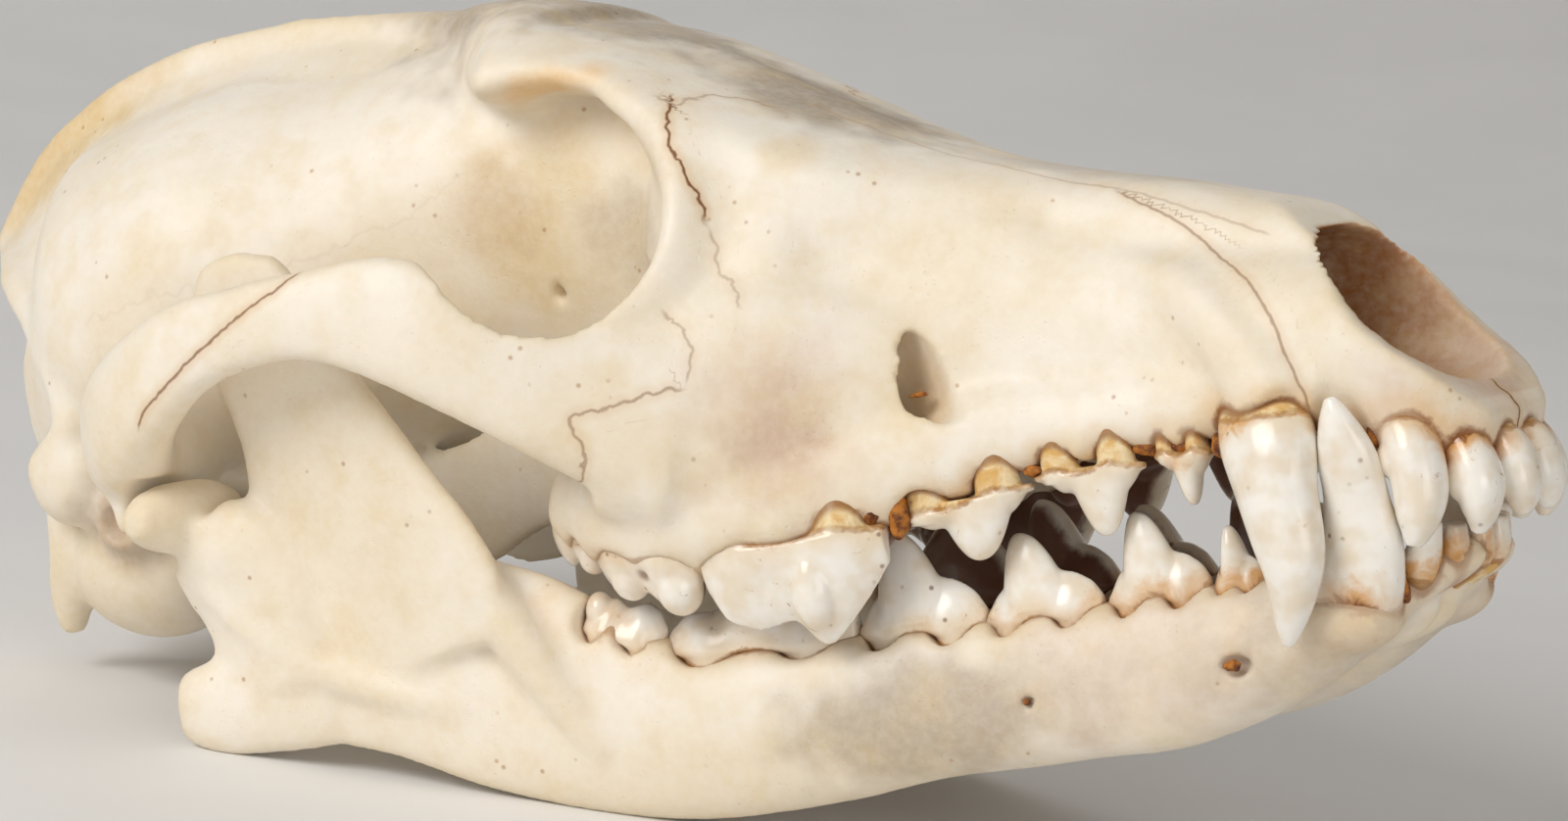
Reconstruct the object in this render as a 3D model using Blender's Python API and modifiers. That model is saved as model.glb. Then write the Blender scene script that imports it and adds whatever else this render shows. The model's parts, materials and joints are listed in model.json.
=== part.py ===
"""A coyote skull, life size, resting on its lower jaw as it does on a table.

Every size is in millimetres, in the skull's own frame: X runs forward from the back of the nuchal
crest, Y to the animal's left and Z up from the plane of the palate. MM turns them into metres, and
the empty skull_pose then tips the skull back until the jaw's corners and its belly touch the floor.
"""

import math

import bmesh
import bpy
import numpy as np
from mathutils import Matrix, Vector

MM = 0.001
PITCH = math.radians(15.9)
FLOOR_IN_SKULL = (58.4, -17.2)
MIDDLE_OF_BOX = (91.6, 0.0)

VOXEL = 0.9
GAP = 0.3
CRANIUM_TRIANGLES = 6500
MANDIBLE_TRIANGLES = 2260
RING_POINTS = 28
TOOTH_RING_POINTS = 8
TOOTH_STEPS = 1

BONE = (0.84, 0.78, 0.66, 1.0)
BONE_ROUGHNESS = 0.55
SHARP_EDGE = math.radians(50)

# Stations of a loft: x, y, z of its middle, half width, height above and depth below that middle.
VAULT = (
    (9, 0, 37, 7, 10, 7),
    (14, 0, 33, 13, 16.5, 14),
    (20, 0, 30.5, 20, 23.5, 19.5),
    (28, 0, 30.5, 26.4, 27.6, 22),
    (37, 0, 32, 29.6, 28, 23),
    (47, 0, 33.5, 30.6, 27.6, 23.5),
    (58, 0, 35, 27.5, 26.2, 24),
    (70, 0, 38, 21.5, 22, 25),
    (80, 0, 40, 17, 20, 25),
    (92, 0, 40, 15, 18.5, 27),
    (104, 0, 36, 14.5, 18, 26),
    (116, 0, 31, 16, 16.5, 24),
    (126, 0, 27, 18, 15, 22),
)
FRONTAL_SHIELD = (
    (74, 0, 58, 3, 5.4, 4),
    (82, 0, 56, 9, 7.4, 5),
    (89, 0, 53.4, 17, 8.8, 4),
    (94.5, 0, 51.2, 24.2, 8.6, 3),
    (99.5, 0, 51.4, 22.6, 6, 2.2),
    (106, 0, 50, 20.8, 4.2, 2.6),
    (113, 0, 46.8, 20.6, 3.2, 4),
    (121, 0, 40.6, 21.6, 4.8, 6),
    (131, 0, 33.6, 18.8, 6.4, 8),
    (142, 0, 28.6, 14, 6.6, 8),
    (156, 0, 25, 9, 5.9, 6),
)
FACE = (
    (108, 0, 14, 24, 29, 12),
    (120, 0, 12, 27, 31, 11),
    (130, 0, 10, 23.5, 29.6, 8),
    (141, 0, 10, 18.5, 25.4, 8),
    (152, 0, 9, 15.6, 21.6, 7.3),
    (164, 0, 9, 14, 17, 7.2),
    (174, 0, 9, 14.8, 13.6, 8),
    (182, 0, 8, 15.2, 12.4, 8),
    (190, 0, 3, 14, 16, 6),
    (196, 0, 0.4, 11.4, 17, 5.4),
    (199.8, 0, -0.8, 7.4, 14, 3.4),
)
NASAL_BONES = (
    (142, 0, 24, 11.4, 9.8, 6),
    (152, 0, 21, 10, 10.6, 6),
    (164, 0, 19, 9.2, 9.8, 6),
    (174, 0, 17, 9, 8.6, 6),
    (181, 0, 16, 9, 7.6, 7),
    (189, 0, 13.6, 8.4, 6.6, 6),
)
SAGITTAL_CREST = (
    (1.6, 0, 44, 1.6, 4.6, 6),
    (5, 0, 46, 1.6, 6.6, 8),
    (13.8, 0, 50, 1.6, 9.9, 8),
    (22, 0, 52, 1.6, 11.6, 8),
    (30, 0, 54, 1.6, 12, 8),
    (41, 0, 55, 1.7, 12.1, 8),
    (56, 0, 56, 1.8, 10.7, 8),
    (67, 0, 57, 2.6, 8, 6),
    (78, 0, 57, 4.5, 6.2, 5),
)
PALATE = (
    (97, 0, 5, 19, 4, 2.5),
    (112, 0, 4, 21, 4, 2.5),
    (130, 0, 4, 19, 4, 2.5),
)
BASICRANIUM = (
    (13, 0, 9.5, 10, 5, 3),
    (26, 0, 10, 8.5, 5, 2.5),
    (45, 0, 11, 8, 5, 2.5),
    (64, 0, 13, 7, 5, 2.5),
    (84, 0, 14.5, 6, 5, 2.5),
)
# The pieces from here on are made once for each side.
ARCH = (
    (118, 28, 12, 5, 11, 12),
    (111, 33.6, 15.5, 4, 9.2, 8.5),
    (105, 38.6, 20, 3, 8, 7.4),
    (98, 42.6, 24.8, 2.6, 7.8, 6.8),
    (91.5, 45, 27.6, 2.4, 7.4, 5.8),
    (85, 46.4, 29, 2.3, 5.4, 4.6),
    (77, 47.2, 29.2, 2.3, 5, 4.4),
    (68, 47, 28, 2.6, 5.6, 5),
    (60, 45.4, 24.8, 3.4, 6.6, 6.2),
    (53, 41.5, 21.4, 4.8, 7.6, 7.4),
    (48.6, 35.5, 19.4, 6, 8, 7),
    (47.4, 28, 20, 7, 8, 6.4),
    (48, 20, 22, 7, 9, 7),
)
CHEEK = (
    (148, 12, 12, 3.5, 7, 8),
    (140, 15.2, 12, 4.6, 9, 9),
    (132, 18.6, 12, 6, 12, 11),
    (124, 22, 12.6, 7, 14, 13),
    (116, 26, 12.6, 7.2, 13, 13),
    (109, 31.5, 14, 5.5, 11, 10.5),
)
SNOUT_WALL = (
    (111, 15, 38, 6.6, 8, 9),
    (124, 14, 33, 7.4, 8, 9),
    (138, 10.6, 26.5, 5.8, 7, 8),
    (152, 8, 22, 4.6, 6, 7),
)
ORBIT_RIM = (
    (109, 19.6, 48.2, 2, 2, 2),
    (114, 20.2, 45, 2.6, 2.4, 2.6),
    (117.4, 21.2, 40.4, 3.2, 2.8, 3.2),
    (119, 22.8, 35, 3.8, 3, 3.4),
    (118.8, 25, 29.5, 4, 3.2, 3.4),
    (116, 29, 25, 3.6, 3, 3.2),
    (110.5, 34, 22.2, 2.8, 2.6, 2.6),
)
ALVEOLAR_RIDGE = (
    (186, 12.6, 5, 3.4, 4, 3.8),
    (172, 12.4, 5, 3.4, 5, 3.8),
    (160, 13.2, 4.5, 3.5, 5, 3.6),
    (148, 15.6, 4.5, 4, 6, 4.4),
    (137, 19.6, 2.5, 4.6, 7, 5.4),
    (128, 23.2, 1.5, 4.8, 8, 5.2),
    (118, 25.8, 1.5, 5, 9, 6.4),
    (108, 26.2, 2.5, 5, 8, 6),
    (99, 24.2, 4.5, 4, 6, 4.2),
)
CANINE_JUGUM = (
    (180.6, 14, 3.4, 4.9, 5, 5),
    (177, 12.8, 9.5, 4.4, 4.4, 4.4),
    (171, 11.2, 16, 3.4, 3.4, 3.4),
    (163, 9.4, 20, 2.2, 2.2, 2.2),
)
OCCIPUT = (
    (4, 0, 48, 2, 3, 1.5),
    (9, 0, 45, 8, 8, 5),
    (16, 0, 41, 15.4, 8, 9.5),
    (24, 0, 34.5, 21.2, 8, 13.4),
    (28.6, 0, 28, 24.4, 8, 15.4),
    (30.2, 0, 22, 25.6, 8, 15.2),
    (29.5, 0, 16, 25, 8, 14),
    (30, 0, 10, 20, 8, 12),
)
CREST_FLARE = (
    (6, 0, 43, 6, 7, 6),
    (14, 0, 46, 9, 11, 6),
    (24, 0, 50, 11, 11.6, 6),
    (36, 0, 53.5, 11, 11, 6),
    (50, 0, 55, 11, 9.6, 6),
    (64, 0, 56, 10, 7.6, 6),
    (78, 0, 56, 8, 5, 5),
)
NUCHAL_CREST = (
    (2.6, 0, 46.5, 2, 2.6, 2.2),
    (9, 8, 45, 1.8, 2.2, 2),
    (16, 15.6, 41, 1.8, 2.2, 2),
    (24, 21.6, 34.5, 1.8, 2.2, 2),
    (28.8, 25, 28, 1.9, 2.2, 2),
    (30.3, 26.6, 22.5, 2, 2.4, 2.2),
    (26, 27.4, 18.4, 1.7, 2.2, 2.2),
    (31, 27, 15, 2.6, 3, 3),
)
PAROCCIPITAL_PROCESS = (
    (24, 19.5, 18, 4.6, 3.2, 3.5),
    (22, 19.3, 9, 3.8, 3, 3),
    (19.6, 18.8, 3, 2.7, 2.6, 2.8),
    (18.6, 18.4, -1.4, 1.4, 1.4, 1.6),
)
PTERYGOID_PLATE = (
    (62, 9.5, 8, 1.4, 7, 5),
    (67, 9.5, 5, 1.4, 9, 7),
    (74, 9.6, 5, 1.4, 9, 6.5),
    (84, 10.3, 8, 1.5, 8, 6),
    (97, 12.5, 9, 2.6, 8, 6),
)
POSTGLENOID_PROCESS = (
    (49.2, 25, 14, 1.9, 6, 4),
    (49, 33, 13, 2, 6, 6),
    (49.6, 41, 14, 1.8, 6, 4.5),
)

# Round pieces: middle, then half sizes along X, Y and Z.
BULLA = ((33, 16.3, 6.4), (12.5, 9, 10))
OCCIPITAL_CONDYLE = ((17.5, 9, 12.5), (5, 6, 7))
MASTOID = ((29, 25, 17), (6, 4.6, 6))
EAR_TUBE = ((36.5, 22.5, 11), (5.5, 6.5, 5.2))
FRONT_TEETH_BED = ((191.2, 0, -0.2), (9, 13, 4.4))

# Hollows: middle, then half sizes along X, Y and Z.
FORAMEN_MAGNUM = ((12, 0, 20), (14, 7.5, 6.2))
EAR_HOLE = ((36.5, 31, 11), (3.0, 5.5, 3.0))
INFRAORBITAL_FORAMEN = (
    (130.4, 14, 9.4, 1.2, 2, 2.4),
    (135, 15.4, 9.4, 1.8, 2.8, 3),
    (138, 16.6, 10.2, 2, 5, 3.8),
    (141, 17.9, 11.4, 2.1, 6.2, 4.6),
    (145.4, 19.6, 10, 1.9, 3.6, 3),
    (151, 21.8, 9, 1.8, 1.2, 1.2),
)
ORBIT = ((105.5, 30.5, 35.5), (13.2, 14.8, 15.8))
GLENOID_RADIUS = 4.9
NASAL_CAVITY = (
    (150, 0, 13.5, 5, 6, 5),
    (166, 0, 13, 8.4, 7.4, 6.5),
    (176, 0, 12.8, 10, 8.2, 6.8),
    (184, 0, 12, 11, 9, 7.2),
    (190, 0, 8.6, 11, 14, 6.2),
    (195, 0, 7.4, 9.6, 16, 5),
    (199, 0, 7.2, 7, 16, 3.6),
    (206, 0, 8, 6, 18, 3),
)
CHOANA = (
    (60, 0, 3, 7.2, 7.5, 8),
    (80, 0, 4, 7.8, 7.6, 8),
    (101, 0, 6.5, 8, 5.5, 5),
    (112, 0, 8, 5, 3, 3),
)
# The place that the point of the lower canine takes up in front of the upper one.
LOWER_CANINE_BED = (
    (187.2, 14, -4, 3, 4, 3.8),
    (187.4, 15.2, 0, 2.8, 3.4, 3.4),
    (187.2, 16.2, 3.6, 2.2, 2.4, 2.4),
    (187.1, 17.4, 6.4, 1.2, 1.2, 1.2),
)
# The outline, seen from the side, of what is cut away over the nose opening.
NOSE_FRONT = (
    (174, 34), (176.4, 25.4), (181, 23), (184.2, 20), (186.3, 16.8), (188.2, 13.2),
    (190.2, 10.2), (192.4, 7.8), (195, 5.6), (197.4, 3), (200, -0.4), (203.6, -4.6), (208, 34),
)

# The lower jaw, one side.
JAW_BODY = (
    (194.6, 2.2, -13.6, 2, 1.5, 1.5),
    (191.8, 3.5, -14.8, 3.7, 2.4, 2.2),
    (187.2, 5.1, -16.2, 5.3, 3.2, 2.8),
    (182, 7, -17.9, 6.3, 4.4, 4.6),
    (174.5, 9.3, -19.6, 6.5, 6.2, 6.9),
    (164, 11.4, -21, 5, 7.6, 8.6),
    (150, 13.7, -21.5, 4.6, 7.5, 8.4),
    (136, 16, -21.5, 4.8, 8, 8.5),
    (122, 18.9, -21.5, 5, 8.2, 9.7),
    (110, 21.9, -20.8, 4.8, 8.6, 10.3),
    (100, 24.8, -18, 4.2, 10.6, 11.2),
    (90, 28, -12.5, 3.4, 12, 12.8),
    (80, 31, -6.5, 2.8, 10, 13.8),
    (70, 33.3, -4, 2.6, 8, 13.5),
    (62, 34.8, -6, 2.6, 6, 11.4),
)
ANGULAR_PROCESS = (
    (70, 33.4, -11, 2.8, 6, 6.4),
    (62, 35, -10.8, 3, 5.5, 6.6),
    (55, 36.2, -10.8, 3.2, 5, 5.9),
    (50.9, 37, -10.4, 2.6, 3.6, 4),
)
CORONOID_PLATE = (
    (78, 31.5, -10, 2.7, 16, 20),
    (77, 32.5, -3, 2.5, 17.5, 21),
    (76, 33.6, 4, 2.3, 16, 18.5),
    (75, 34.8, 11, 2.2, 13.2, 12.6),
    (74, 35.8, 17, 2.1, 11, 10),
    (72.6, 36.8, 24, 2, 8.6, 9.2),
    (70.4, 37.5, 31, 1.9, 7.6, 9.4),
    (68.9, 37.9, 36, 1.7, 5.6, 6.4),
    (68.7, 38, 38.2, 1.2, 2.4, 2.4),
)
CORONOID_RIDGE = (
    (101, 27.4, -22, 2, 2, 2),
    (97, 29, -15, 2.6, 2.6, 2.6),
    (92.5, 30.8, -6, 3, 3, 3),
    (88, 32.4, 3, 2.9, 2.9, 2.9),
    (83.8, 33.9, 11, 2.6, 2.6, 2.6),
    (80.5, 35.3, 18.5, 2.3, 2.3, 2.3),
    (78, 36.6, 26, 1.8, 1.8, 1.8),
)
CONDYLOID_RIDGE = (
    (56, 37, 6, 2.6, 2.6, 2.6),
    (61, 37, -1, 2.4, 2.4, 2.4),
    (68, 35.8, -7.5, 2.2, 2.2, 2.2),
    (78, 33.2, -12.5, 2, 2, 2),
    (89, 29.8, -16, 1.8, 1.8, 1.8),
)
CONDYLE_NECK = (
    (63, 35.6, -10, 2.6, 8, 7.6),
    (63, 35.8, -4, 2.6, 8, 7.4),
    (62, 36.2, 1, 2.8, 8, 7.8),
    (60, 36.8, 5, 3.2, 8, 7.8),
    (57.6, 37.2, 8, 3.4, 6, 6.4),
)
CONDYLE = (
    (56, 29.5, 10.3, 2.6, 2.6, 2.6),
    (55.5, 33, 10.4, 3.9, 3.9, 3.9),
    (55.3, 38, 10.5, 4.1, 4.1, 4.1),
    (55.3, 42.5, 10.6, 3.5, 3.5, 3.5),
    (55.4, 45.8, 10.6, 1.8, 1.8, 1.8),
)
SYMPHYSIS = ((175, 2.5, -18.8), (14, 5, 5))
LOWER_CANINE_BASE = ((183, 11, -18.6), (6, 4.6, 3.8))

# Teeth that are cones: stations from the root to the tip, with half width across the jaw, then the
# half lengths in front of and behind the middle.
UPPER_CONES = {
    "I1": (
        (194, 2.6, -1, 1.4, 1.6, 1.6), (199, 2.8, -3.4, 2, 1.9, 2.2),
        (200.2, 3, -7, 2.4, 2, 2.4), (200, 3.1, -9.6, 1.9, 1.5, 1.7),
        (199.6, 3.1, -11, 0.7, 0.6, 0.7),
    ),
    "I2": (
        (191, 6.2, 0, 1.5, 1.7, 1.7), (196.2, 7.2, -2.6, 2.4, 2.1, 2.5),
        (197.9, 7.9, -6.6, 2.8, 2.5, 2.8), (197.7, 8.1, -9.8, 2.1, 1.8, 2),
        (197, 8.2, -12, 0.7, 0.6, 0.7),
    ),
    "I3": (
        (187.4, 8.4, 2.4, 1.8, 2.2, 2.2), (192.2, 11, -1, 2.8, 2.9, 2.8),
        (193.3, 12, -6, 2.9, 3, 2.8), (193, 12.7, -9.4, 2.2, 2.3, 2.3),
        (192.2, 13.1, -12.2, 0.8, 0.8, 0.9),
    ),
    "C": (
        (175.5, 10.4, 7, 2, 3, 3), (179.2, 15.3, 1.2, 3.6, 5.1, 5.1),
        (180.5, 17.2, -5, 3.3, 4.1, 4.5), (181.3, 18, -10.6, 2.8, 3.5, 3.9),
        (180.8, 18, -14.5, 2.1, 2.6, 2.8), (179.5, 17.6, -18.2, 1.2, 1.5, 1.6),
        (178.7, 17.4, -20.2, 0.5, 0.6, 0.6),
    ),
}
LOWER_CONES = {
    "i1": (
        (190, 1.8, -16.6, 1.1, 1.4, 1.4), (193.8, 1.9, -14.4, 1.5, 1.5, 1.8),
        (195, 2, -11, 1.3, 0.8, 1),
    ),
    "i2": (
        (188.4, 4.4, -16.8, 1.2, 1.6, 1.6), (192.2, 5, -14.6, 1.7, 1.7, 2),
        (193.6, 5.3, -10.8, 1.4, 0.9, 1.1),
    ),
    "i3": (
        (186.4, 6.8, -17.4, 1.4, 1.8, 1.8), (190.2, 8.2, -14.4, 2, 2, 2.2),
        (192.6, 8.8, -10, 1.3, 1, 1.2),
    ),
    "c": (
        (180, 9.4, -21.5, 2.4, 3, 3), (183.9, 11.5, -17, 3.2, 4.9, 5.1),
        (186.2, 12.5, -11.6, 2.8, 4.5, 4.2), (187.1, 13.5, -6.6, 2.3, 3.4, 3.6),
        (187.4, 14.6, -2.2, 2, 3, 3.3), (187.3, 15.6, 1.6, 1.4, 1.7, 2),
        (187.1, 16.1, 3.8, 0.5, 0.6, 0.6),
    ),
}

# Teeth that are blades: front and back end, half thickness, crown height, depth of root, and the
# crown's profile as shares of its length from the front and of its height.
UPPER_PREMOLAR = (
    (0, 0.14), (0.08, 0.32), (0.26, 0.64), (0.4, 0.96), (0.46, 1), (0.52, 0.9), (0.66, 0.42),
    (0.78, 0.42), (0.92, 0.22), (1, 0.1),
)
LOWER_PREMOLAR = (
    (0, 0.14), (0.05, 0.34), (0.14, 0.42), (0.2, 0.5), (0.44, 0.8), (0.6, 0.98), (0.66, 1),
    (0.72, 0.84), (0.79, 0.44), (0.88, 0.36), (1, 0.12),
)
UPPER_CARNASSIAL = (
    (0, 0.3), (0.06, 0.46), (0.2, 0.72), (0.36, 0.98), (0.42, 1), (0.48, 0.86), (0.54, 0.7),
    (0.75, 0.76), (0.94, 0.62), (1, 0.26),
)
LOWER_CARNASSIAL = (
    (0, 0.35), (0.14, 0.62), (0.34, 0.97), (0.42, 1), (0.5, 0.82), (0.6, 0.64), (0.72, 0.38), (0.9, 0.38),
    (1, 0.2),
)
MOLAR = ((0, 0.5), (0.14, 0.9), (0.3, 1), (0.5, 0.72), (0.68, 0.9), (0.88, 0.7), (1, 0.35))
UPPER_BLADES = {
    "P1": ((172, 13.6, 1), (165.6, 13.8, 1.4), 1.9, 6.3, 3, UPPER_PREMOLAR),
    "P2": ((164.4, 14.2, 1.4), (152.5, 16, 1.6), 2.2, 8.4, 3, UPPER_PREMOLAR),
    "P3": ((152.2, 16.4, 1), (137.4, 19.8, -1), 2.5, 7.6, 3.5, UPPER_PREMOLAR),
    "P4": ((137.4, 22.8, -2.4), (117.2, 27.4, -2.6), 3.2, 11.6, 5, UPPER_CARNASSIAL),
    "M1": ((117, 27.4, -3), (103.8, 26.6, 0), 3.4, 5.8, 5, MOLAR),
    "M2": ((103.4, 25.6, 1.6), (96.8, 24, 2.8), 2.5, 5, 4, MOLAR),
}
LOWER_BLADES = {
    "p1": ((174.2, 10.5, -14.4), (168.4, 11, -14.4), 1.8, 6.8, 3, LOWER_PREMOLAR),
    "p2": ((168.2, 11.1, -14.4), (156.8, 12.4, -14.6), 2.2, 9.6, 3, LOWER_PREMOLAR),
    "p3": ((156.2, 12.6, -14.6), (143, 14.4, -14.8), 2.4, 9.4, 3, LOWER_PREMOLAR),
    "p4": ((143.2, 14.6, -14.6), (128.6, 16.6, -14.4), 2.7, 11.2, 4, LOWER_PREMOLAR),
    "m1": ((128.6, 17.2, -14.4), (107.4, 22, -13), 3.2, 12, 4, LOWER_CARNASSIAL),
    "m2": ((107.2, 23, -12.4), (98.8, 25, -8.8), 2.8, 5, 4, MOLAR),
    "m3": ((98.4, 25.4, -8.4), (94.6, 26.4, -6.2), 1.9, 3, 3, MOLAR),
}
# The inner halves of the upper molars: middle, then half sizes along X, Y and Z.
INNER_LOBES = (
    ((135.2, 20.6, -1.5), (2.4, 2.6, 3.4)),
    ((111.5, 22.2, -1.6), (4.4, 6.4, 3.4)),
    ((102, 20.8, 0.6), (2.8, 4.6, 2.6)),
)


def material(name, colour, roughness):
    """A plain material for one kind of surface."""
    made = bpy.data.materials.new(name)
    made.use_nodes = True
    shader = made.node_tree.nodes["Principled BSDF"]
    shader.inputs["Base Color"].default_value = colour
    shader.inputs["Roughness"].default_value = roughness
    shader.inputs["Metallic"].default_value = 0.0
    return made


def object_of(name, mesh, collection):
    made = bpy.data.objects.new(name, mesh)
    collection.objects.link(made)
    return made


def mirrored(stations, side):
    """The stations with Y towards one side of the skull: 1 for its left, -1 for its right."""
    return [(x, side * y, z, *sizes) for x, y, z, *sizes in stations]


def smooth_stations(stations, steps):
    """Stations on a Catmull-Rom curve through the given ones, in place and in size."""
    keys = np.array(stations, float)
    padded = np.vstack([2 * keys[0] - keys[1], keys, 2 * keys[-1] - keys[-2]])
    rows = []
    for i in range(len(keys) - 1):
        a, b, c, d = padded[i : i + 4]
        for t in np.arange(steps) / steps:
            curve = 2 * b + (c - a) * t + (2 * a - 5 * b + 4 * c - d) * t * t
            rows.append((curve + (3 * b - a - 3 * c + d) * t**3) / 2)
    rows = np.array([*rows, keys[-1]])
    rows[:, 3:] = np.maximum(rows[:, 3:], keys[:, 3:].min(axis=0))
    return rows


def ring(middle, across, upward, sizes, powers, count):
    """Points round one section, a superellipse with its own height above and below the middle."""
    half, above, below = sizes
    points = []
    for i in range(count):
        angle = 2 * math.pi * i / count
        c, s = math.cos(angle), math.sin(angle)
        power = powers[0] if s > 0 else powers[1]
        height = above if s > 0 else below
        points.append(
            middle
            + across * (half * math.copysign(abs(c) ** (2 / power), c))
            + upward * (height * math.copysign(abs(s) ** (2 / power), s))
        )
    return points


def loft(stations, upward=(0, 0, 1), powers=(2, 2), steps=4, count=RING_POINTS):
    """A closed mesh through sections that stand square to the line of their middles."""
    rows = smooth_stations(stations, steps)
    middles = [Vector(row[:3]) for row in rows]
    bm = bmesh.new()
    rings = []
    for i, middle in enumerate(middles):
        along = (middles[min(i + 1, len(rows) - 1)] - middles[max(i - 1, 0)]).normalized()
        across = along.cross(Vector(upward)).normalized()
        points = ring(middle, across, across.cross(along), rows[i][3:], powers, count)
        rings.append([bm.verts.new(point * MM) for point in points])
    for first, second in zip(rings, rings[1:]):
        for i in range(count):
            j = (i + 1) % count
            bm.faces.new((first[i], first[j], second[j], second[i]))
    bm.faces.new(rings[0])
    bm.faces.new(rings[-1])
    bmesh.ops.triangulate(bm, faces=[f for f in bm.faces if len(f.verts) > 4])
    bmesh.ops.recalc_face_normals(bm, faces=bm.faces)
    mesh = bpy.data.meshes.new("loft")
    bm.to_mesh(mesh)
    bm.free()
    return mesh


def ellipsoid(middle, halves, side=1, segments=24):
    """A closed ball stretched to three half sizes."""
    bm = bmesh.new()
    place = Matrix.Translation(Vector((middle[0], side * middle[1], middle[2])) * MM)
    stretch = Matrix.Diagonal((*(h * MM for h in halves), 1))
    bmesh.ops.create_uvsphere(
        bm, u_segments=segments, v_segments=segments // 2, radius=1, matrix=place @ stretch
    )
    mesh = bpy.data.meshes.new("ball")
    bm.to_mesh(mesh)
    bm.free()
    return mesh


def prism(outline, half_width):
    """A flat outline in X and Z, drawn as a 2D curve and given its width along Y."""
    curve = bpy.data.curves.new("outline", "CURVE")
    curve.dimensions = "2D"
    curve.fill_mode = "BOTH"
    curve.extrude = half_width * MM
    spline = curve.splines.new("POLY")
    spline.points.add(len(outline) - 1)
    for point, (x, z) in zip(spline.points, outline):
        point.co = (x * MM, z * MM, 0, 1)
    spline.use_cyclic_u = True
    drawn = object_of("outline", curve, bpy.context.scene.collection)
    drawn.rotation_euler = (math.pi / 2, 0, 0)
    mesh = welded(baked_mesh(drawn))
    bpy.data.objects.remove(drawn)
    return mesh


def baked_mesh(obj):
    """The object's mesh as its modifiers leave it, in world space."""
    bpy.context.view_layer.update()
    shown = obj.evaluated_get(bpy.context.evaluated_depsgraph_get())
    mesh = bpy.data.meshes.new_from_object(shown)
    mesh.transform(obj.matrix_world)
    return mesh


def welded(mesh):
    """Closes the seams between a curve's sides and its caps."""
    bm = bmesh.new()
    bm.from_mesh(mesh)
    bmesh.ops.remove_doubles(bm, verts=bm.verts, dist=1e-6)
    bm.to_mesh(mesh)
    bm.free()
    return mesh


def apply_modifiers(obj):
    obj.data = baked_mesh(obj)
    obj.modifiers.clear()


def joined(meshes):
    """One mesh that holds all of these, still overlapping."""
    bm = bmesh.new()
    for mesh in meshes:
        bm.from_mesh(mesh)
    whole = bpy.data.meshes.new("pieces")
    bm.to_mesh(whole)
    bm.free()
    return whole


def shell_volume(faces):
    """Six times the volume inside some faces of a closed mesh."""
    total = 0.0
    for face in faces:
        a, b, c = (v.co for v in face.verts)
        total += a.dot(b.cross(c))
    return total


def keep_largest_shell(obj):
    """Leaves only the closed surface that holds most, without sealed hollows and loose scraps."""
    bm = bmesh.new()
    bm.from_mesh(obj.data)
    bmesh.ops.triangulate(bm, faces=bm.faces)
    left = set(bm.faces)
    shells = []
    while left:
        stack = [left.pop()]
        shell = list(stack)
        while stack:
            near = {f for v in stack.pop().verts for f in v.link_faces} & left
            left -= near
            stack.extend(near)
            shell.extend(near)
        shells.append(shell)
    shells.sort(key=shell_volume)
    for shell in shells[:-1]:
        bmesh.ops.delete(bm, geom=shell, context="FACES")
    bm.to_mesh(obj.data)
    bm.free()


def fuse(obj, smoothing):
    """Melts overlapping pieces into one skin and rounds the creases between them."""
    remesh = obj.modifiers.new("melt", "REMESH")
    remesh.mode = "VOXEL"
    remesh.voxel_size = VOXEL * MM
    rounding = obj.modifiers.new("round", "SMOOTH")
    rounding.factor = 0.5
    rounding.iterations = smoothing
    apply_modifiers(obj)


def boolean(obj, collection, operation):
    """Joins to, or cuts from, an object all that a collection holds, and removes the collection."""
    step = obj.modifiers.new(operation.lower(), "BOOLEAN")
    step.operation = operation
    step.operand_type = "COLLECTION"
    step.collection = collection
    step.solver = "MANIFOLD"
    apply_modifiers(obj)
    for used in list(collection.objects):
        bpy.data.objects.remove(used)
    bpy.data.collections.remove(collection)
    keep_largest_shell(obj)


def pieces_in(name, meshes):
    """A collection that holds one hidden object for each mesh, for a Boolean to use."""
    collection = bpy.data.collections.new(name)
    bpy.context.scene.collection.children.link(collection)
    for i, mesh in enumerate(meshes):
        piece = object_of(f"{name}_{i}", mesh, collection)
        piece.hide_render = True
        piece.display_type = "WIRE"
    return collection


def reduce_to(obj, triangles):
    """Keeps the skin's shape with fewer triangles, most of them where it bends."""
    keep_largest_shell(obj)
    step = obj.modifiers.new("reduce", "DECIMATE")
    step.ratio = min(1.0, triangles / len(obj.data.polygons))
    step.use_collapse_triangulate = True
    apply_modifiers(obj)


def cone_tooth(stations, side):
    """An incisor or a canine, from its root to its tip, with X as the way it is long."""
    return loft(mirrored(stations, side), upward=(1, 0, 0), steps=TOOTH_STEPS, count=TOOTH_RING_POINTS)


def blade_tooth(front, back, half, height, root, profile, side, toward):
    """A premolar or molar: a blade whose edge rises to its cusps, on a root sunk in the jaw."""
    front = Vector((front[0], side * front[1], front[2]))
    back = Vector((back[0], side * back[1], back[2]))
    stations = []
    for share, rise in profile:
        middle = front.lerp(back, share)
        width = half * (0.25 + 0.75 * math.sin(math.pi * (0.05 + 0.9 * share)) ** 0.6)
        stations.append((*middle, width, height * rise, root))
    up = (0, 0, toward)
    return loft(stations, up, powers=(1.8, 1.5), steps=TOOTH_STEPS, count=TOOTH_RING_POINTS)


def teeth(cones, blades, side, toward):
    made = [cone_tooth(stations, side) for stations in cones.values()]
    made += [blade_tooth(*sizes, side, toward) for sizes in blades.values()]
    return made


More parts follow.
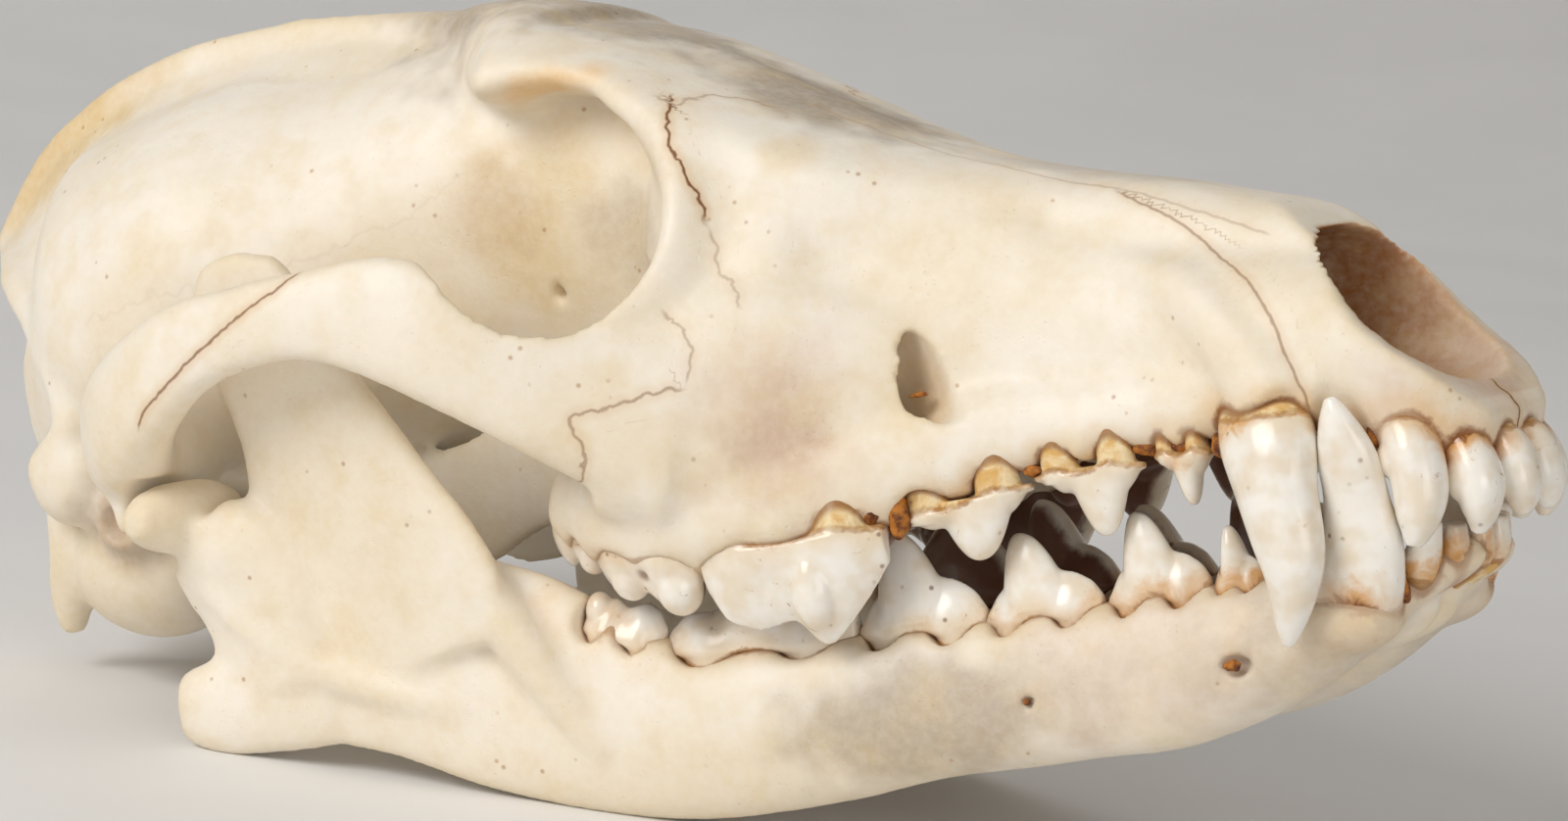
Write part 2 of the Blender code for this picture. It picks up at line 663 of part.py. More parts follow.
def build_cranium(collection):
    meshes = [
        loft(VAULT),
        loft(FRONTAL_SHIELD, powers=(2.5, 2)),
        loft(FACE, powers=(2.3, 4)),
        loft(NASAL_BONES, powers=(3.2, 2)),
        loft(SAGITTAL_CREST, powers=(3, 2)),
        loft(CREST_FLARE, powers=(1.1, 2)),
        loft(OCCIPUT, upward=(1, 0, 0), powers=(2, 1.3)),
        loft(PALATE, powers=(3, 3)),
        loft(BASICRANIUM),
        ellipsoid(*FRONT_TEETH_BED),
    ]
    for side in (1, -1):
        meshes += [
            loft(mirrored(ARCH, side), powers=(2.4, 2.4)),
            loft(mirrored(CHEEK, side), powers=(2.2, 2.6)),
            loft(mirrored(SNOUT_WALL, side)),
            loft(mirrored(ORBIT_RIM, side), upward=(1, 0, 0)),
            loft(mirrored(ALVEOLAR_RIDGE, side)),
            loft(mirrored(CANINE_JUGUM, side), upward=(1, 0, 0)),
            loft(mirrored(NUCHAL_CREST, side), upward=(1, 0, 0)),
            loft(mirrored(PAROCCIPITAL_PROCESS, side), upward=(1, 0, 0)),
            loft(mirrored(PTERYGOID_PLATE, side)),
            loft(mirrored(POSTGLENOID_PROCESS, side), upward=(0, 0, 1)),
            ellipsoid(*BULLA, side),
            ellipsoid(*OCCIPITAL_CONDYLE, side),
            ellipsoid(*MASTOID, side),
            ellipsoid(*EAR_TUBE, side),
        ]
    cranium = object_of("cranium", joined(meshes), collection)
    fuse(cranium, 6)
    cuts = [
        loft(NASAL_CAVITY, powers=(2.5, 2.4)),
        loft(CHOANA, powers=(2, 2)),
        ellipsoid(*FORAMEN_MAGNUM),
        prism(NOSE_FRONT, 40),
    ]
    for side in (1, -1):
        cuts += [
            ellipsoid(*EAR_HOLE, side),
            loft(mirrored(INFRAORBITAL_FORAMEN, side)),
            ellipsoid(*ORBIT, side),
            glenoid_cut(side),
            loft(mirrored(LOWER_CANINE_BED, side), upward=(1, 0, 0)),
        ]
    boolean(cranium, pieces_in("cranium_cuts", cuts), "DIFFERENCE")
    fuse(cranium, 3)
    reduce_to(cranium, CRANIUM_TRIANGLES)
    roots = [t for side in (1, -1) for t in teeth(UPPER_CONES, UPPER_BLADES, side, -1)]
    roots += [ellipsoid(*lobe, side, 10) for side in (1, -1) for lobe in INNER_LOBES]
    boolean(cranium, pieces_in("upper_teeth", roots), "UNION")
    return cranium


def glenoid_cut(side):
    """The trough that the jaw's condyle turns in."""
    stations = [(55.4, side * y, 10.5, GLENOID_RADIUS, GLENOID_RADIUS, GLENOID_RADIUS) for y in (24, 50)]
    return loft(stations, upward=(0, 0, 1), steps=2)


def build_mandible(name, side, collection):
    meshes = [
        loft(mirrored(JAW_BODY, side), powers=(2.4, 2.2)),
        loft(mirrored(ANGULAR_PROCESS, side)),
        loft(mirrored(CORONOID_PLATE, side), upward=(1, 0, 0), powers=(2.6, 2.6)),
        loft(mirrored(CORONOID_RIDGE, side), upward=(0, 1, 0)),
        loft(mirrored(CONDYLOID_RIDGE, side)),
        loft(mirrored(CONDYLE_NECK, side), upward=(1, 0, 0)),
        loft(mirrored(CONDYLE, side)),
        ellipsoid(*SYMPHYSIS, side),
        ellipsoid(*LOWER_CANINE_BASE, side),
    ]
    mandible = object_of(name, joined(meshes), collection)
    fuse(mandible, 4)
    reduce_to(mandible, MANDIBLE_TRIANGLES)
    roots = teeth(LOWER_CONES, LOWER_BLADES, side, 1)
    boolean(mandible, pieces_in(f"{name}_teeth", roots), "UNION")
    boolean(mandible, pieces_in(f"{name}_cuts", [other_half(side), floor_block()]), "DIFFERENCE")
    return mandible


def block(low, high):
    """A box between two corners."""
    bm = bmesh.new()
    low, high = Vector(low) * MM, Vector(high) * MM
    place = Matrix.Translation((low + high) / 2) @ Matrix.Diagonal((*(high - low), 1))
    bmesh.ops.create_cube(bm, size=1, matrix=place)
    mesh = bpy.data.meshes.new("block")
    bm.to_mesh(mesh)
    bm.free()
    return mesh


def other_half(side):
    """All that lies past the middle of the chin, where the two jaw bones meet."""
    return block((100, -60 if side > 0 else -GAP / 2, -60), (240, GAP / 2 if side > 0 else 60, 30))


def floor_block():
    """All that lies under the floor, which runs through the jaw's corner at the skull's pitch."""
    mesh = block((-150, -80, -60), (150, 80, 0))
    turn = Matrix.Rotation(PITCH, 4, "Y")
    x, z = FLOOR_IN_SKULL
    mesh.transform(Matrix.Translation(Vector((x, 0, z)) * MM) @ turn)
    return mesh


def pose():
    """An empty that tips the skull up at the snout and stands it on the floor."""
    empty = object_of("skull_pose", None, bpy.context.scene.collection)
    turn = Matrix.Rotation(-PITCH, 4, "Y")
    x, z = FLOOR_IN_SKULL
    foot = turn @ Vector((x, 0, z))
    empty.matrix_world = Matrix.Translation(Vector((-MIDDLE_OF_BOX[0], 0, -foot.z)) * MM) @ turn
    return empty


def main():
    for old in list(bpy.data.objects):
        bpy.data.objects.remove(old)
    collection = bpy.data.collections.new("coyote_skull")
    bpy.context.scene.collection.children.link(collection)
    nodes = [
        build_cranium(collection),
        build_mandible("mandible_left", 1, collection),
        build_mandible("mandible_right", -1, collection),
    ]
    standing = pose()
    for node in nodes:
        node.data.materials.clear()
        node.data.materials.append(material(f"{node.name}_bone", BONE, BONE_ROUGHNESS))
        node.data.shade_smooth()
        node.data.set_sharp_from_angle(angle=SHARP_EDGE)
        node.parent = standing


main()
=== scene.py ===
"""A coyote skull as it lies on a museum table: dry bone, enamel teeth and dried gum remains.

Every size is in millimetres in the skull's own frame, as in the part's source: X runs forward from
the back of the nuchal crest, Y to the animal's left and Z up from the plane of the palate. MM turns
them into metres, and POSE tips the skull up and stands it on the floor.
"""

import json
import math

import bmesh
import bpy
import numpy as np
from mathutils import Matrix, Vector, noise
from mathutils.bvhtree import BVHTree
from mathutils.kdtree import KDTree

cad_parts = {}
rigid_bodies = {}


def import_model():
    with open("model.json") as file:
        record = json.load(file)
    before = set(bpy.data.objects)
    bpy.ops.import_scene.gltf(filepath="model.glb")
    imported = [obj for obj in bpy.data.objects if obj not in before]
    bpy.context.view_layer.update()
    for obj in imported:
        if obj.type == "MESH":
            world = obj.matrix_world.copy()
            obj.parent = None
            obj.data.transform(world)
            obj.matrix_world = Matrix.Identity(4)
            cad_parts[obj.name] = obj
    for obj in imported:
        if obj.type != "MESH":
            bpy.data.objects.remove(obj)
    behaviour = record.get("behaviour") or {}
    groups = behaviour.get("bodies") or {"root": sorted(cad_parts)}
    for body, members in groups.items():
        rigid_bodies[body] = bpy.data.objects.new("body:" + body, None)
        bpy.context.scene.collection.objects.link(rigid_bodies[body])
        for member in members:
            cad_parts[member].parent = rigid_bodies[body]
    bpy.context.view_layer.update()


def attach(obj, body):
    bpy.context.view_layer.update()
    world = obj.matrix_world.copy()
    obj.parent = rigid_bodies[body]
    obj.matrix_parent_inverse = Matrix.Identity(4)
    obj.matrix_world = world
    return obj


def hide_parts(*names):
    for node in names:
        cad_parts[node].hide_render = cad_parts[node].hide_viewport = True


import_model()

MM = 0.001
UP, FORWARD = (0, 0, 1), (1, 0, 0)
# How far the skull is tipped up, a point under it that touches the floor (X and Z), the X that comes
# to stand at the origin, and the gap between the two halves of the jaw.
PITCH = math.radians(15.9)
FLOOR_IN_SKULL = (58.4, -17.2)
MIDDLE_OF_BOX = 91.6
GAP = 0.3
# How fine the skin is over the bones and over the teeth, and the points round a loft.
BONE_VOXEL = 0.55
TOOTH_VOXEL = 0.26
RING_POINTS = 36

turn = Matrix.Rotation(-PITCH, 4, "Y")
foot = turn @ Vector((FLOOR_IN_SKULL[0] * MM, 0, FLOOR_IN_SKULL[1] * MM))
POSE = Matrix.Translation(Vector((-MIDDLE_OF_BOX * MM, 0, -foot.z))) @ turn

# Stations of a loft: x, y, z of its middle, half width, height above and depth below that middle.
VAULT = (
    (9, 0, 37, 7, 10, 7), (14, 0, 33, 13, 16.5, 14), (20, 0, 30.5, 20, 23.5, 19.5),
    (28, 0, 30.5, 26.4, 27.6, 22), (37, 0, 32, 29.6, 28, 23), (47, 0, 33.5, 30.6, 27.6, 23.5),
    (58, 0, 35, 27.5, 26.2, 24), (70, 0, 38, 21.5, 22, 25), (80, 0, 40, 17, 20, 25),
    (92, 0, 40, 15, 18.5, 27), (104, 0, 36, 14.5, 18, 26), (116, 0, 31, 16, 16.5, 24),
    (126, 0, 27, 18, 15, 22),
)
FRONTAL_SHIELD = (
    (74, 0, 58, 3, 5.4, 4), (82, 0, 56, 9, 7.4, 5), (89, 0, 53.4, 17, 8.8, 4),
    (94.5, 0, 51.2, 24.2, 8.6, 3), (99.5, 0, 51.4, 22.6, 6, 2.2), (106, 0, 50, 20.8, 4.2, 2.6),
    (113, 0, 46.8, 20.6, 3.2, 4), (121, 0, 40.6, 21.6, 4.8, 6), (131, 0, 33.6, 18.8, 6.4, 8),
    (142, 0, 28.6, 14, 6.6, 8), (156, 0, 25, 9, 5.9, 6),
)
FACE = (
    (108, 0, 14, 24, 29, 12), (120, 0, 12, 27, 31, 11), (130, 0, 10, 23.5, 29.6, 8),
    (141, 0, 10, 18.5, 25.4, 8), (152, 0, 9, 15.6, 21.6, 7.3), (164, 0, 9, 14, 17, 7.2),
    (174, 0, 9, 14.8, 13.6, 8), (182, 0, 8, 15.2, 12.4, 8), (190, 0, 3, 14, 16, 6),
    (196, 0, 0.4, 11.4, 17, 5.4), (199.8, 0, -0.8, 7.4, 14, 3.4),
)
NASAL_BONES = (
    (142, 0, 24, 11.4, 9.8, 6), (152, 0, 21, 10, 10.6, 6), (164, 0, 19, 9.2, 9.8, 6),
    (174, 0, 17, 9, 8.6, 6), (181, 0, 16, 9, 7.6, 7), (189, 0, 13.6, 8.4, 6.6, 6),
)
SAGITTAL_CREST = (
    (1.6, 0, 44, 1.6, 4.6, 6), (5, 0, 46, 1.6, 6.6, 8), (13.8, 0, 50, 1.6, 9.9, 8),
    (22, 0, 52, 1.6, 11.6, 8), (30, 0, 54, 1.6, 12, 8), (41, 0, 55, 1.7, 12.1, 8),
    (56, 0, 56, 1.8, 10.7, 8), (67, 0, 57, 2.6, 8, 6), (78, 0, 57, 4.5, 6.2, 5),
)
PALATE = (
    (97, 0, 5, 19, 4, 2.5), (112, 0, 4, 21, 4, 2.5), (130, 0, 4, 19, 4, 2.5),
)
BASICRANIUM = (
    (13, 0, 9.5, 10, 5, 3), (26, 0, 10, 8.5, 5, 2.5), (45, 0, 11, 8, 5, 2.5), (64, 0, 13, 7, 5, 2.5),
    (84, 0, 14.5, 6, 5, 2.5),
)
OCCIPUT = (
    (4, 0, 48, 2, 3, 1.5), (9, 0, 45, 8, 8, 5), (16, 0, 41, 15.4, 8, 9.5), (24, 0, 34.5, 21.2, 8, 13.4),
    (28.6, 0, 28, 24.4, 8, 15.4), (30.2, 0, 22, 25.6, 8, 15.2), (29.5, 0, 16, 25, 8, 14),
    (30, 0, 10, 20, 8, 12),
)
CREST_FLARE = (
    (6, 0, 43, 6, 7, 6), (14, 0, 46, 9, 11, 6), (24, 0, 50, 11, 11.6, 6), (36, 0, 53.5, 11, 11, 6),
    (50, 0, 55, 11, 9.6, 6), (64, 0, 56, 10, 7.6, 6), (78, 0, 56, 8, 5, 5),
)
# The pieces from here on are made once for each side.
ARCH = (
    (118, 28, 12, 5, 11, 12), (111, 33.6, 15.5, 4, 9.2, 8.5), (105, 38.6, 20, 3, 8, 7.4),
    (98, 42.6, 24.8, 2.6, 7.8, 6.8), (91.5, 45, 27.6, 2.4, 7.4, 5.8), (85, 46.4, 29, 2.3, 5.4, 4.6),
    (77, 47.2, 29.2, 2.3, 5, 4.4), (68, 47, 28, 2.6, 5.6, 5), (60, 45.4, 24.8, 3.4, 6.6, 6.2),
    (53, 41.5, 21.4, 4.8, 7.6, 7.4), (48.6, 35.5, 19.4, 6, 8, 7), (47.4, 28, 20, 7, 8, 6.4),
    (48, 20, 22, 7, 9, 7),
)
CHEEK = (
    (148, 12, 12, 3.5, 7, 8), (140, 15.2, 12, 4.6, 9, 9), (132, 18.6, 12, 6, 12, 11),
    (124, 22, 12.6, 7, 14, 13), (116, 26, 12.6, 7.2, 13, 13), (109, 31.5, 14, 5.5, 11, 10.5),
)
SNOUT_WALL = (
    (111, 15, 38, 6.6, 8, 9), (124, 14, 33, 7.4, 8, 9), (138, 10.6, 26.5, 5.8, 7, 8),
    (152, 8, 22, 4.6, 6, 7),
)
ORBIT_RIM = (
    (109, 19.6, 48.2, 2, 2, 2), (114, 20.2, 45, 2.6, 2.4, 2.6), (117.4, 21.2, 40.4, 3.2, 2.8, 3.2),
    (119, 22.8, 35, 3.8, 3, 3.4), (118.8, 25, 29.5, 4, 3.2, 3.4), (116, 29, 25, 3.6, 3, 3.2),
    (110.5, 34, 22.2, 2.8, 2.6, 2.6),
)
ALVEOLAR_RIDGE = (
    (186, 12.6, 5, 3.4, 4, 3.8), (172, 12.4, 5, 3.4, 5, 3.8), (160, 13.2, 4.5, 3.5, 5, 3.6),
    (148, 15.6, 4.5, 4, 6, 4.4), (137, 19.6, 2.5, 4.6, 7, 5.4), (128, 23.2, 1.5, 4.8, 8, 5.2),
    (118, 25.8, 1.5, 5, 9, 6.4), (108, 26.2, 2.5, 5, 8, 6), (99, 24.2, 4.5, 4, 6, 4.2),
)
CANINE_JUGUM = (
    (180.6, 14, 3.4, 4.9, 5, 5), (177, 12.8, 9.5, 4.4, 4.4, 4.4), (171, 11.2, 16, 3.4, 3.4, 3.4),
    (163, 9.4, 20, 2.2, 2.2, 2.2),
)
NUCHAL_CREST = (
    (2.6, 0, 46.5, 2, 2.6, 2.2), (9, 8, 45, 1.8, 2.2, 2), (16, 15.6, 41, 1.8, 2.2, 2),
    (24, 21.6, 34.5, 1.8, 2.2, 2), (28.8, 25, 28, 1.9, 2.2, 2), (30.3, 26.6, 22.5, 2, 2.4, 2.2),
    (26, 27.4, 18.4, 1.7, 2.2, 2.2), (31, 27, 15, 2.6, 3, 3),
)
PAROCCIPITAL_PROCESS = (
    (24, 19.5, 18, 4.6, 3.2, 3.5), (22, 19.3, 9, 3.8, 3, 3), (19.6, 18.8, 3, 2.7, 2.6, 2.8),
    (18.6, 18.4, -1.4, 1.4, 1.4, 1.6),
)
PTERYGOID_PLATE = (
    (62, 9.5, 8, 1.4, 7, 5), (67, 9.5, 5, 1.4, 9, 7), (74, 9.6, 5, 1.4, 9, 6.5), (84, 10.3, 8, 1.5, 8, 6),
    (97, 12.5, 9, 2.6, 8, 6),
)
POSTGLENOID_PROCESS = (
    (49.2, 25, 14, 1.9, 6, 4), (49, 33, 13, 2, 6, 6), (49.6, 41, 14, 1.8, 6, 4.5),
)

# Round pieces: middle, then half sizes along X, Y and Z.
BULLA = ((33, 16.3, 6.4), (12.5, 9, 10))
OCCIPITAL_CONDYLE = ((17.5, 9, 12.5), (5, 6, 7))
MASTOID = ((29, 25, 17), (6, 4.6, 6))
EAR_TUBE = ((36.5, 22.5, 11), (5.5, 6.5, 5.2))
FRONT_TEETH_BED = ((191.2, 0, -0.2), (9, 13, 4.4))

# Hollows, each as a middle with half sizes or as stations.
FORAMEN_MAGNUM = ((12, 0, 20), (14, 7.5, 6.2))
EAR_HOLE = ((36.5, 31, 11), (3, 5.5, 3))
INFRAORBITAL_FORAMEN = (
    (130.4, 14, 9.4, 1.2, 2, 2.4), (135, 15.4, 9.4, 1.8, 2.8, 3), (138, 16.6, 10.2, 2, 5, 3.8),
    (141, 17.9, 11.4, 2.1, 6.2, 4.6), (145.4, 19.6, 10, 1.9, 3.6, 3), (151, 21.8, 9, 1.8, 1.2, 1.2),
)
ORBIT = ((105.5, 30.5, 35.5), (13.2, 14.8, 15.8))
NASAL_CAVITY = (
    (150, 0, 13.5, 5, 6, 5), (166, 0, 13, 8.4, 7.4, 6.5), (176, 0, 12.8, 10, 8.2, 6.8),
    (184, 0, 12, 11, 9, 7.2), (190, 0, 8.6, 11, 14, 6.2), (195, 0, 7.4, 9.6, 16, 5),
    (199, 0, 7.2, 7, 16, 3.6), (206, 0, 8, 6, 18, 3),
)
CHOANA = (
    (60, 0, 3, 7.2, 7.5, 8), (80, 0, 4, 7.8, 7.6, 8), (101, 0, 6.5, 8, 5.5, 5), (112, 0, 8, 5, 3, 3),
)
# The place that the point of the lower canine takes up in front of the upper one.
LOWER_CANINE_BED = (
    (187.2, 14, -4, 3, 4, 3.8), (187.4, 15.2, 0, 2.8, 3.4, 3.4), (187.2, 16.2, 3.6, 2.2, 2.4, 2.4),
    (187.1, 17.4, 6.4, 1.2, 1.2, 1.2),
)
# The outline, seen from the side, of what is cut away over the nose opening.
NOSE_FRONT = (
    (174, 34), (176.4, 25.4), (181, 23), (184.2, 20), (186.3, 16.8), (188.2, 13.2), (190.2, 10.2),
    (192.4, 7.8), (195, 5.6), (197.4, 3), (200, -0.4), (203.6, -4.6), (208, 34),
)

# The lower jaw, one side.
JAW_BODY = (
    (194.6, 2.2, -13.6, 2, 1.5, 1.5), (191.8, 3.5, -14.8, 3.7, 2.4, 2.2),
    (187.2, 5.1, -16.2, 5.3, 3.2, 2.8), (182, 7, -17.9, 6.3, 4.4, 4.6),
    (174.5, 9.3, -19.6, 6.5, 6.2, 6.9), (164, 11.4, -21, 5, 7.6, 8.6), (150, 13.7, -21.5, 4.6, 7.5, 8.4),
    (136, 16, -21.5, 4.8, 8, 8.5), (122, 18.9, -21.5, 5, 8.2, 9.7), (110, 21.9, -20.8, 4.8, 8.6, 10.3),
    (100, 24.8, -18, 4.2, 10.6, 11.2), (90, 28, -12.5, 3.4, 12, 12.8), (80, 31, -6.5, 2.8, 10, 13.8),
    (70, 33.3, -4, 2.6, 8, 13.5), (62, 34.8, -6, 2.6, 6, 11.4),
)
ANGULAR_PROCESS = (
    (70, 33.4, -11, 2.8, 6, 6.4), (62, 35, -10.8, 3, 5.5, 6.6), (55, 36.2, -10.8, 3.2, 5, 5.9),
    (50.9, 37, -10.4, 2.6, 3.6, 4),
)
CORONOID_PLATE = (
    (78, 31.5, -10, 2.7, 16, 20), (77, 32.5, -3, 2.5, 17.5, 21), (76, 33.6, 4, 2.3, 16, 18.5),
    (75, 34.8, 11, 2.2, 13.2, 12.6), (74, 35.8, 17, 2.1, 11, 10), (72.6, 36.8, 24, 2, 8.6, 9.2),
    (70.4, 37.5, 31, 1.9, 7.6, 9.4), (68.9, 37.9, 36, 1.7, 5.6, 6.4), (68.7, 38, 38.2, 1.2, 2.4, 2.4),
)
CORONOID_RIDGE = (
    (101, 27.4, -22, 2, 2, 2), (97, 29, -15, 2.6, 2.6, 2.6), (92.5, 30.8, -6, 3, 3, 3),
    (88, 32.4, 3, 2.9, 2.9, 2.9), (83.8, 33.9, 11, 2.6, 2.6, 2.6), (80.5, 35.3, 18.5, 2.3, 2.3, 2.3),
    (78, 36.6, 26, 1.8, 1.8, 1.8),
)
CONDYLOID_RIDGE = (
    (56, 37, 6, 2.6, 2.6, 2.6), (61, 37, -1, 2.4, 2.4, 2.4), (68, 35.8, -7.5, 2.2, 2.2, 2.2),
    (78, 33.2, -12.5, 2, 2, 2), (89, 29.8, -16, 1.8, 1.8, 1.8),
)
CONDYLE_NECK = (
    (63, 35.6, -10, 2.6, 8, 7.6), (63, 35.8, -4, 2.6, 8, 7.4), (62, 36.2, 1, 2.8, 8, 7.8),
    (60, 36.8, 5, 3.2, 8, 7.8), (57.6, 37.2, 8, 3.4, 6, 6.4),
)
CONDYLE = (
    (56, 29.5, 10.3, 2.6, 2.6, 2.6), (55.5, 33, 10.4, 3.9, 3.9, 3.9), (55.3, 38, 10.5, 4.1, 4.1, 4.1),
    (55.3, 42.5, 10.6, 3.5, 3.5, 3.5), (55.4, 45.8, 10.6, 1.8, 1.8, 1.8),
)
SYMPHYSIS = ((175, 2.5, -18.8), (14, 5, 5))
LOWER_CANINE_BASE = ((183, 11, -18.6), (6, 4.6, 3.8))

# Teeth that are cones: stations from the root to the tip, with half width across the jaw, then the
# half lengths in front of and behind the middle.
UPPER_CONES = {
    "I1": (
        (194, 2.6, -1, 1.4, 1.6, 1.6), (199, 2.8, -3.4, 2, 1.9, 2.2),
        (200.2, 3, -7, 2.4, 2, 2.4), (200, 3.1, -9.6, 1.9, 1.5, 1.7),
        (199.6, 3.1, -11, 0.7, 0.6, 0.7),
    ),
    "I2": (
        (191, 6.2, 0, 1.5, 1.7, 1.7), (196.2, 7.2, -2.6, 2.4, 2.1, 2.5),
        (197.9, 7.9, -6.6, 2.8, 2.5, 2.8), (197.7, 8.1, -9.8, 2.1, 1.8, 2),
        (197, 8.2, -12, 0.7, 0.6, 0.7),
    ),
    "I3": (
        (187.4, 8.4, 2.4, 1.8, 2.2, 2.2), (192.2, 11, -1, 2.8, 2.9, 2.8),
        (193.3, 12, -6, 2.9, 3, 2.8), (193, 12.7, -9.4, 2.2, 2.3, 2.3),
        (192.2, 13.1, -12.2, 0.8, 0.8, 0.9),
    ),
    "C": (
        (175.5, 10.4, 7, 2, 3, 3), (179.2, 15.3, 1.2, 3.6, 5.1, 5.1),
        (180.5, 17.2, -5, 3.3, 4.1, 4.5), (181.3, 18, -10.6, 2.8, 3.5, 3.9),
        (180.8, 18, -14.5, 2.1, 2.6, 2.8), (179.5, 17.6, -18.2, 1.2, 1.5, 1.6),
        (178.7, 17.4, -20.2, 0.5, 0.6, 0.6),
    ),
}
LOWER_CONES = {
    "i1": (
        (190, 1.8, -16.6, 1.1, 1.4, 1.4), (193.8, 1.9, -14.4, 1.5, 1.5, 1.8),
        (195, 2, -11, 1.3, 0.8, 1),
    ),
    "i2": (
        (188.4, 4.4, -16.8, 1.2, 1.6, 1.6), (192.2, 5, -14.6, 1.7, 1.7, 2),
        (193.6, 5.3, -10.8, 1.4, 0.9, 1.1),
    ),
    "i3": (
        (186.4, 6.8, -17.4, 1.4, 1.8, 1.8), (190.2, 8.2, -14.4, 2, 2, 2.2),
        (192.6, 8.8, -10, 1.3, 1, 1.2),
    ),
    "c": (
        (180, 9.4, -21.5, 2.4, 3, 3), (183.9, 11.5, -17, 3.2, 4.9, 5.1),
        (186.2, 12.5, -11.6, 2.8, 4.5, 4.2), (187.1, 13.5, -6.6, 2.3, 3.4, 3.6),
        (187.4, 14.6, -2.2, 2, 3, 3.3), (187.3, 15.6, 1.6, 1.4, 1.7, 2),
        (187.1, 16.1, 3.8, 0.5, 0.6, 0.6),
    ),
}

# Teeth that are blades: front and back end, half thickness, crown height, depth of root, and the
# crown's profile as shares of its length from the front and of its height.
UPPER_PREMOLAR = (
    (0, 0.14), (0.08, 0.32), (0.26, 0.64), (0.4, 0.96), (0.46, 1), (0.52, 0.9), (0.66, 0.42),
    (0.78, 0.42), (0.92, 0.22), (1, 0.1),
)
LOWER_PREMOLAR = (
    (0, 0.14), (0.05, 0.34), (0.14, 0.42), (0.2, 0.5), (0.44, 0.8), (0.6, 0.98), (0.66, 1),
    (0.72, 0.84), (0.79, 0.44), (0.88, 0.36), (1, 0.12),
)
UPPER_CARNASSIAL = (
    (0, 0.3), (0.06, 0.46), (0.2, 0.72), (0.36, 0.98), (0.42, 1), (0.48, 0.86), (0.54, 0.7),
    (0.75, 0.76), (0.94, 0.62), (1, 0.26),
)
LOWER_CARNASSIAL = (
    (0, 0.35), (0.14, 0.62), (0.34, 0.97), (0.42, 1), (0.5, 0.82), (0.6, 0.64), (0.72, 0.38), (0.9, 0.38),
    (1, 0.2),
)
MOLAR = ((0, 0.5), (0.14, 0.9), (0.3, 1), (0.5, 0.72), (0.68, 0.9), (0.88, 0.7), (1, 0.35))
UPPER_BLADES = {
    "P1": ((172, 13.6, 1), (165.6, 13.8, 1.4), 1.9, 6.3, 3, UPPER_PREMOLAR),
    "P2": ((164.4, 14.2, 1.4), (152.5, 16, 1.6), 2.2, 8.4, 3, UPPER_PREMOLAR),
    "P3": ((152.2, 16.4, 1), (137.4, 19.8, -1), 2.5, 7.6, 3.5, UPPER_PREMOLAR),
    "P4": ((137.4, 22.8, -2.4), (117.2, 27.4, -2.6), 3.2, 11.6, 5, UPPER_CARNASSIAL),
    "M1": ((117, 27.4, -3), (103.8, 26.6, 0), 3.4, 5.8, 5, MOLAR),
    "M2": ((103.4, 25.6, 1.6), (96.8, 24, 2.8), 2.5, 5, 4, MOLAR),
}
LOWER_BLADES = {
    "p1": ((174.2, 10.5, -14.4), (168.4, 11, -14.4), 1.8, 6.8, 3, LOWER_PREMOLAR),
    "p2": ((168.2, 11.1, -14.4), (156.8, 12.4, -14.6), 2.2, 9.6, 3, LOWER_PREMOLAR),
    "p3": ((156.2, 12.6, -14.6), (143, 14.4, -14.8), 2.4, 9.4, 3, LOWER_PREMOLAR),
    "p4": ((143.2, 14.6, -14.6), (128.6, 16.6, -14.4), 2.7, 11.2, 4, LOWER_PREMOLAR),
    "m1": ((128.6, 17.2, -14.4), (107.4, 22, -13), 3.2, 12, 4, LOWER_CARNASSIAL),
    "m2": ((107.2, 23, -12.4), (98.8, 25, -8.8), 2.8, 5, 4, MOLAR),
    "m3": ((98.4, 25.4, -8.4), (94.6, 26.4, -6.2), 1.9, 3, 3, MOLAR),
}

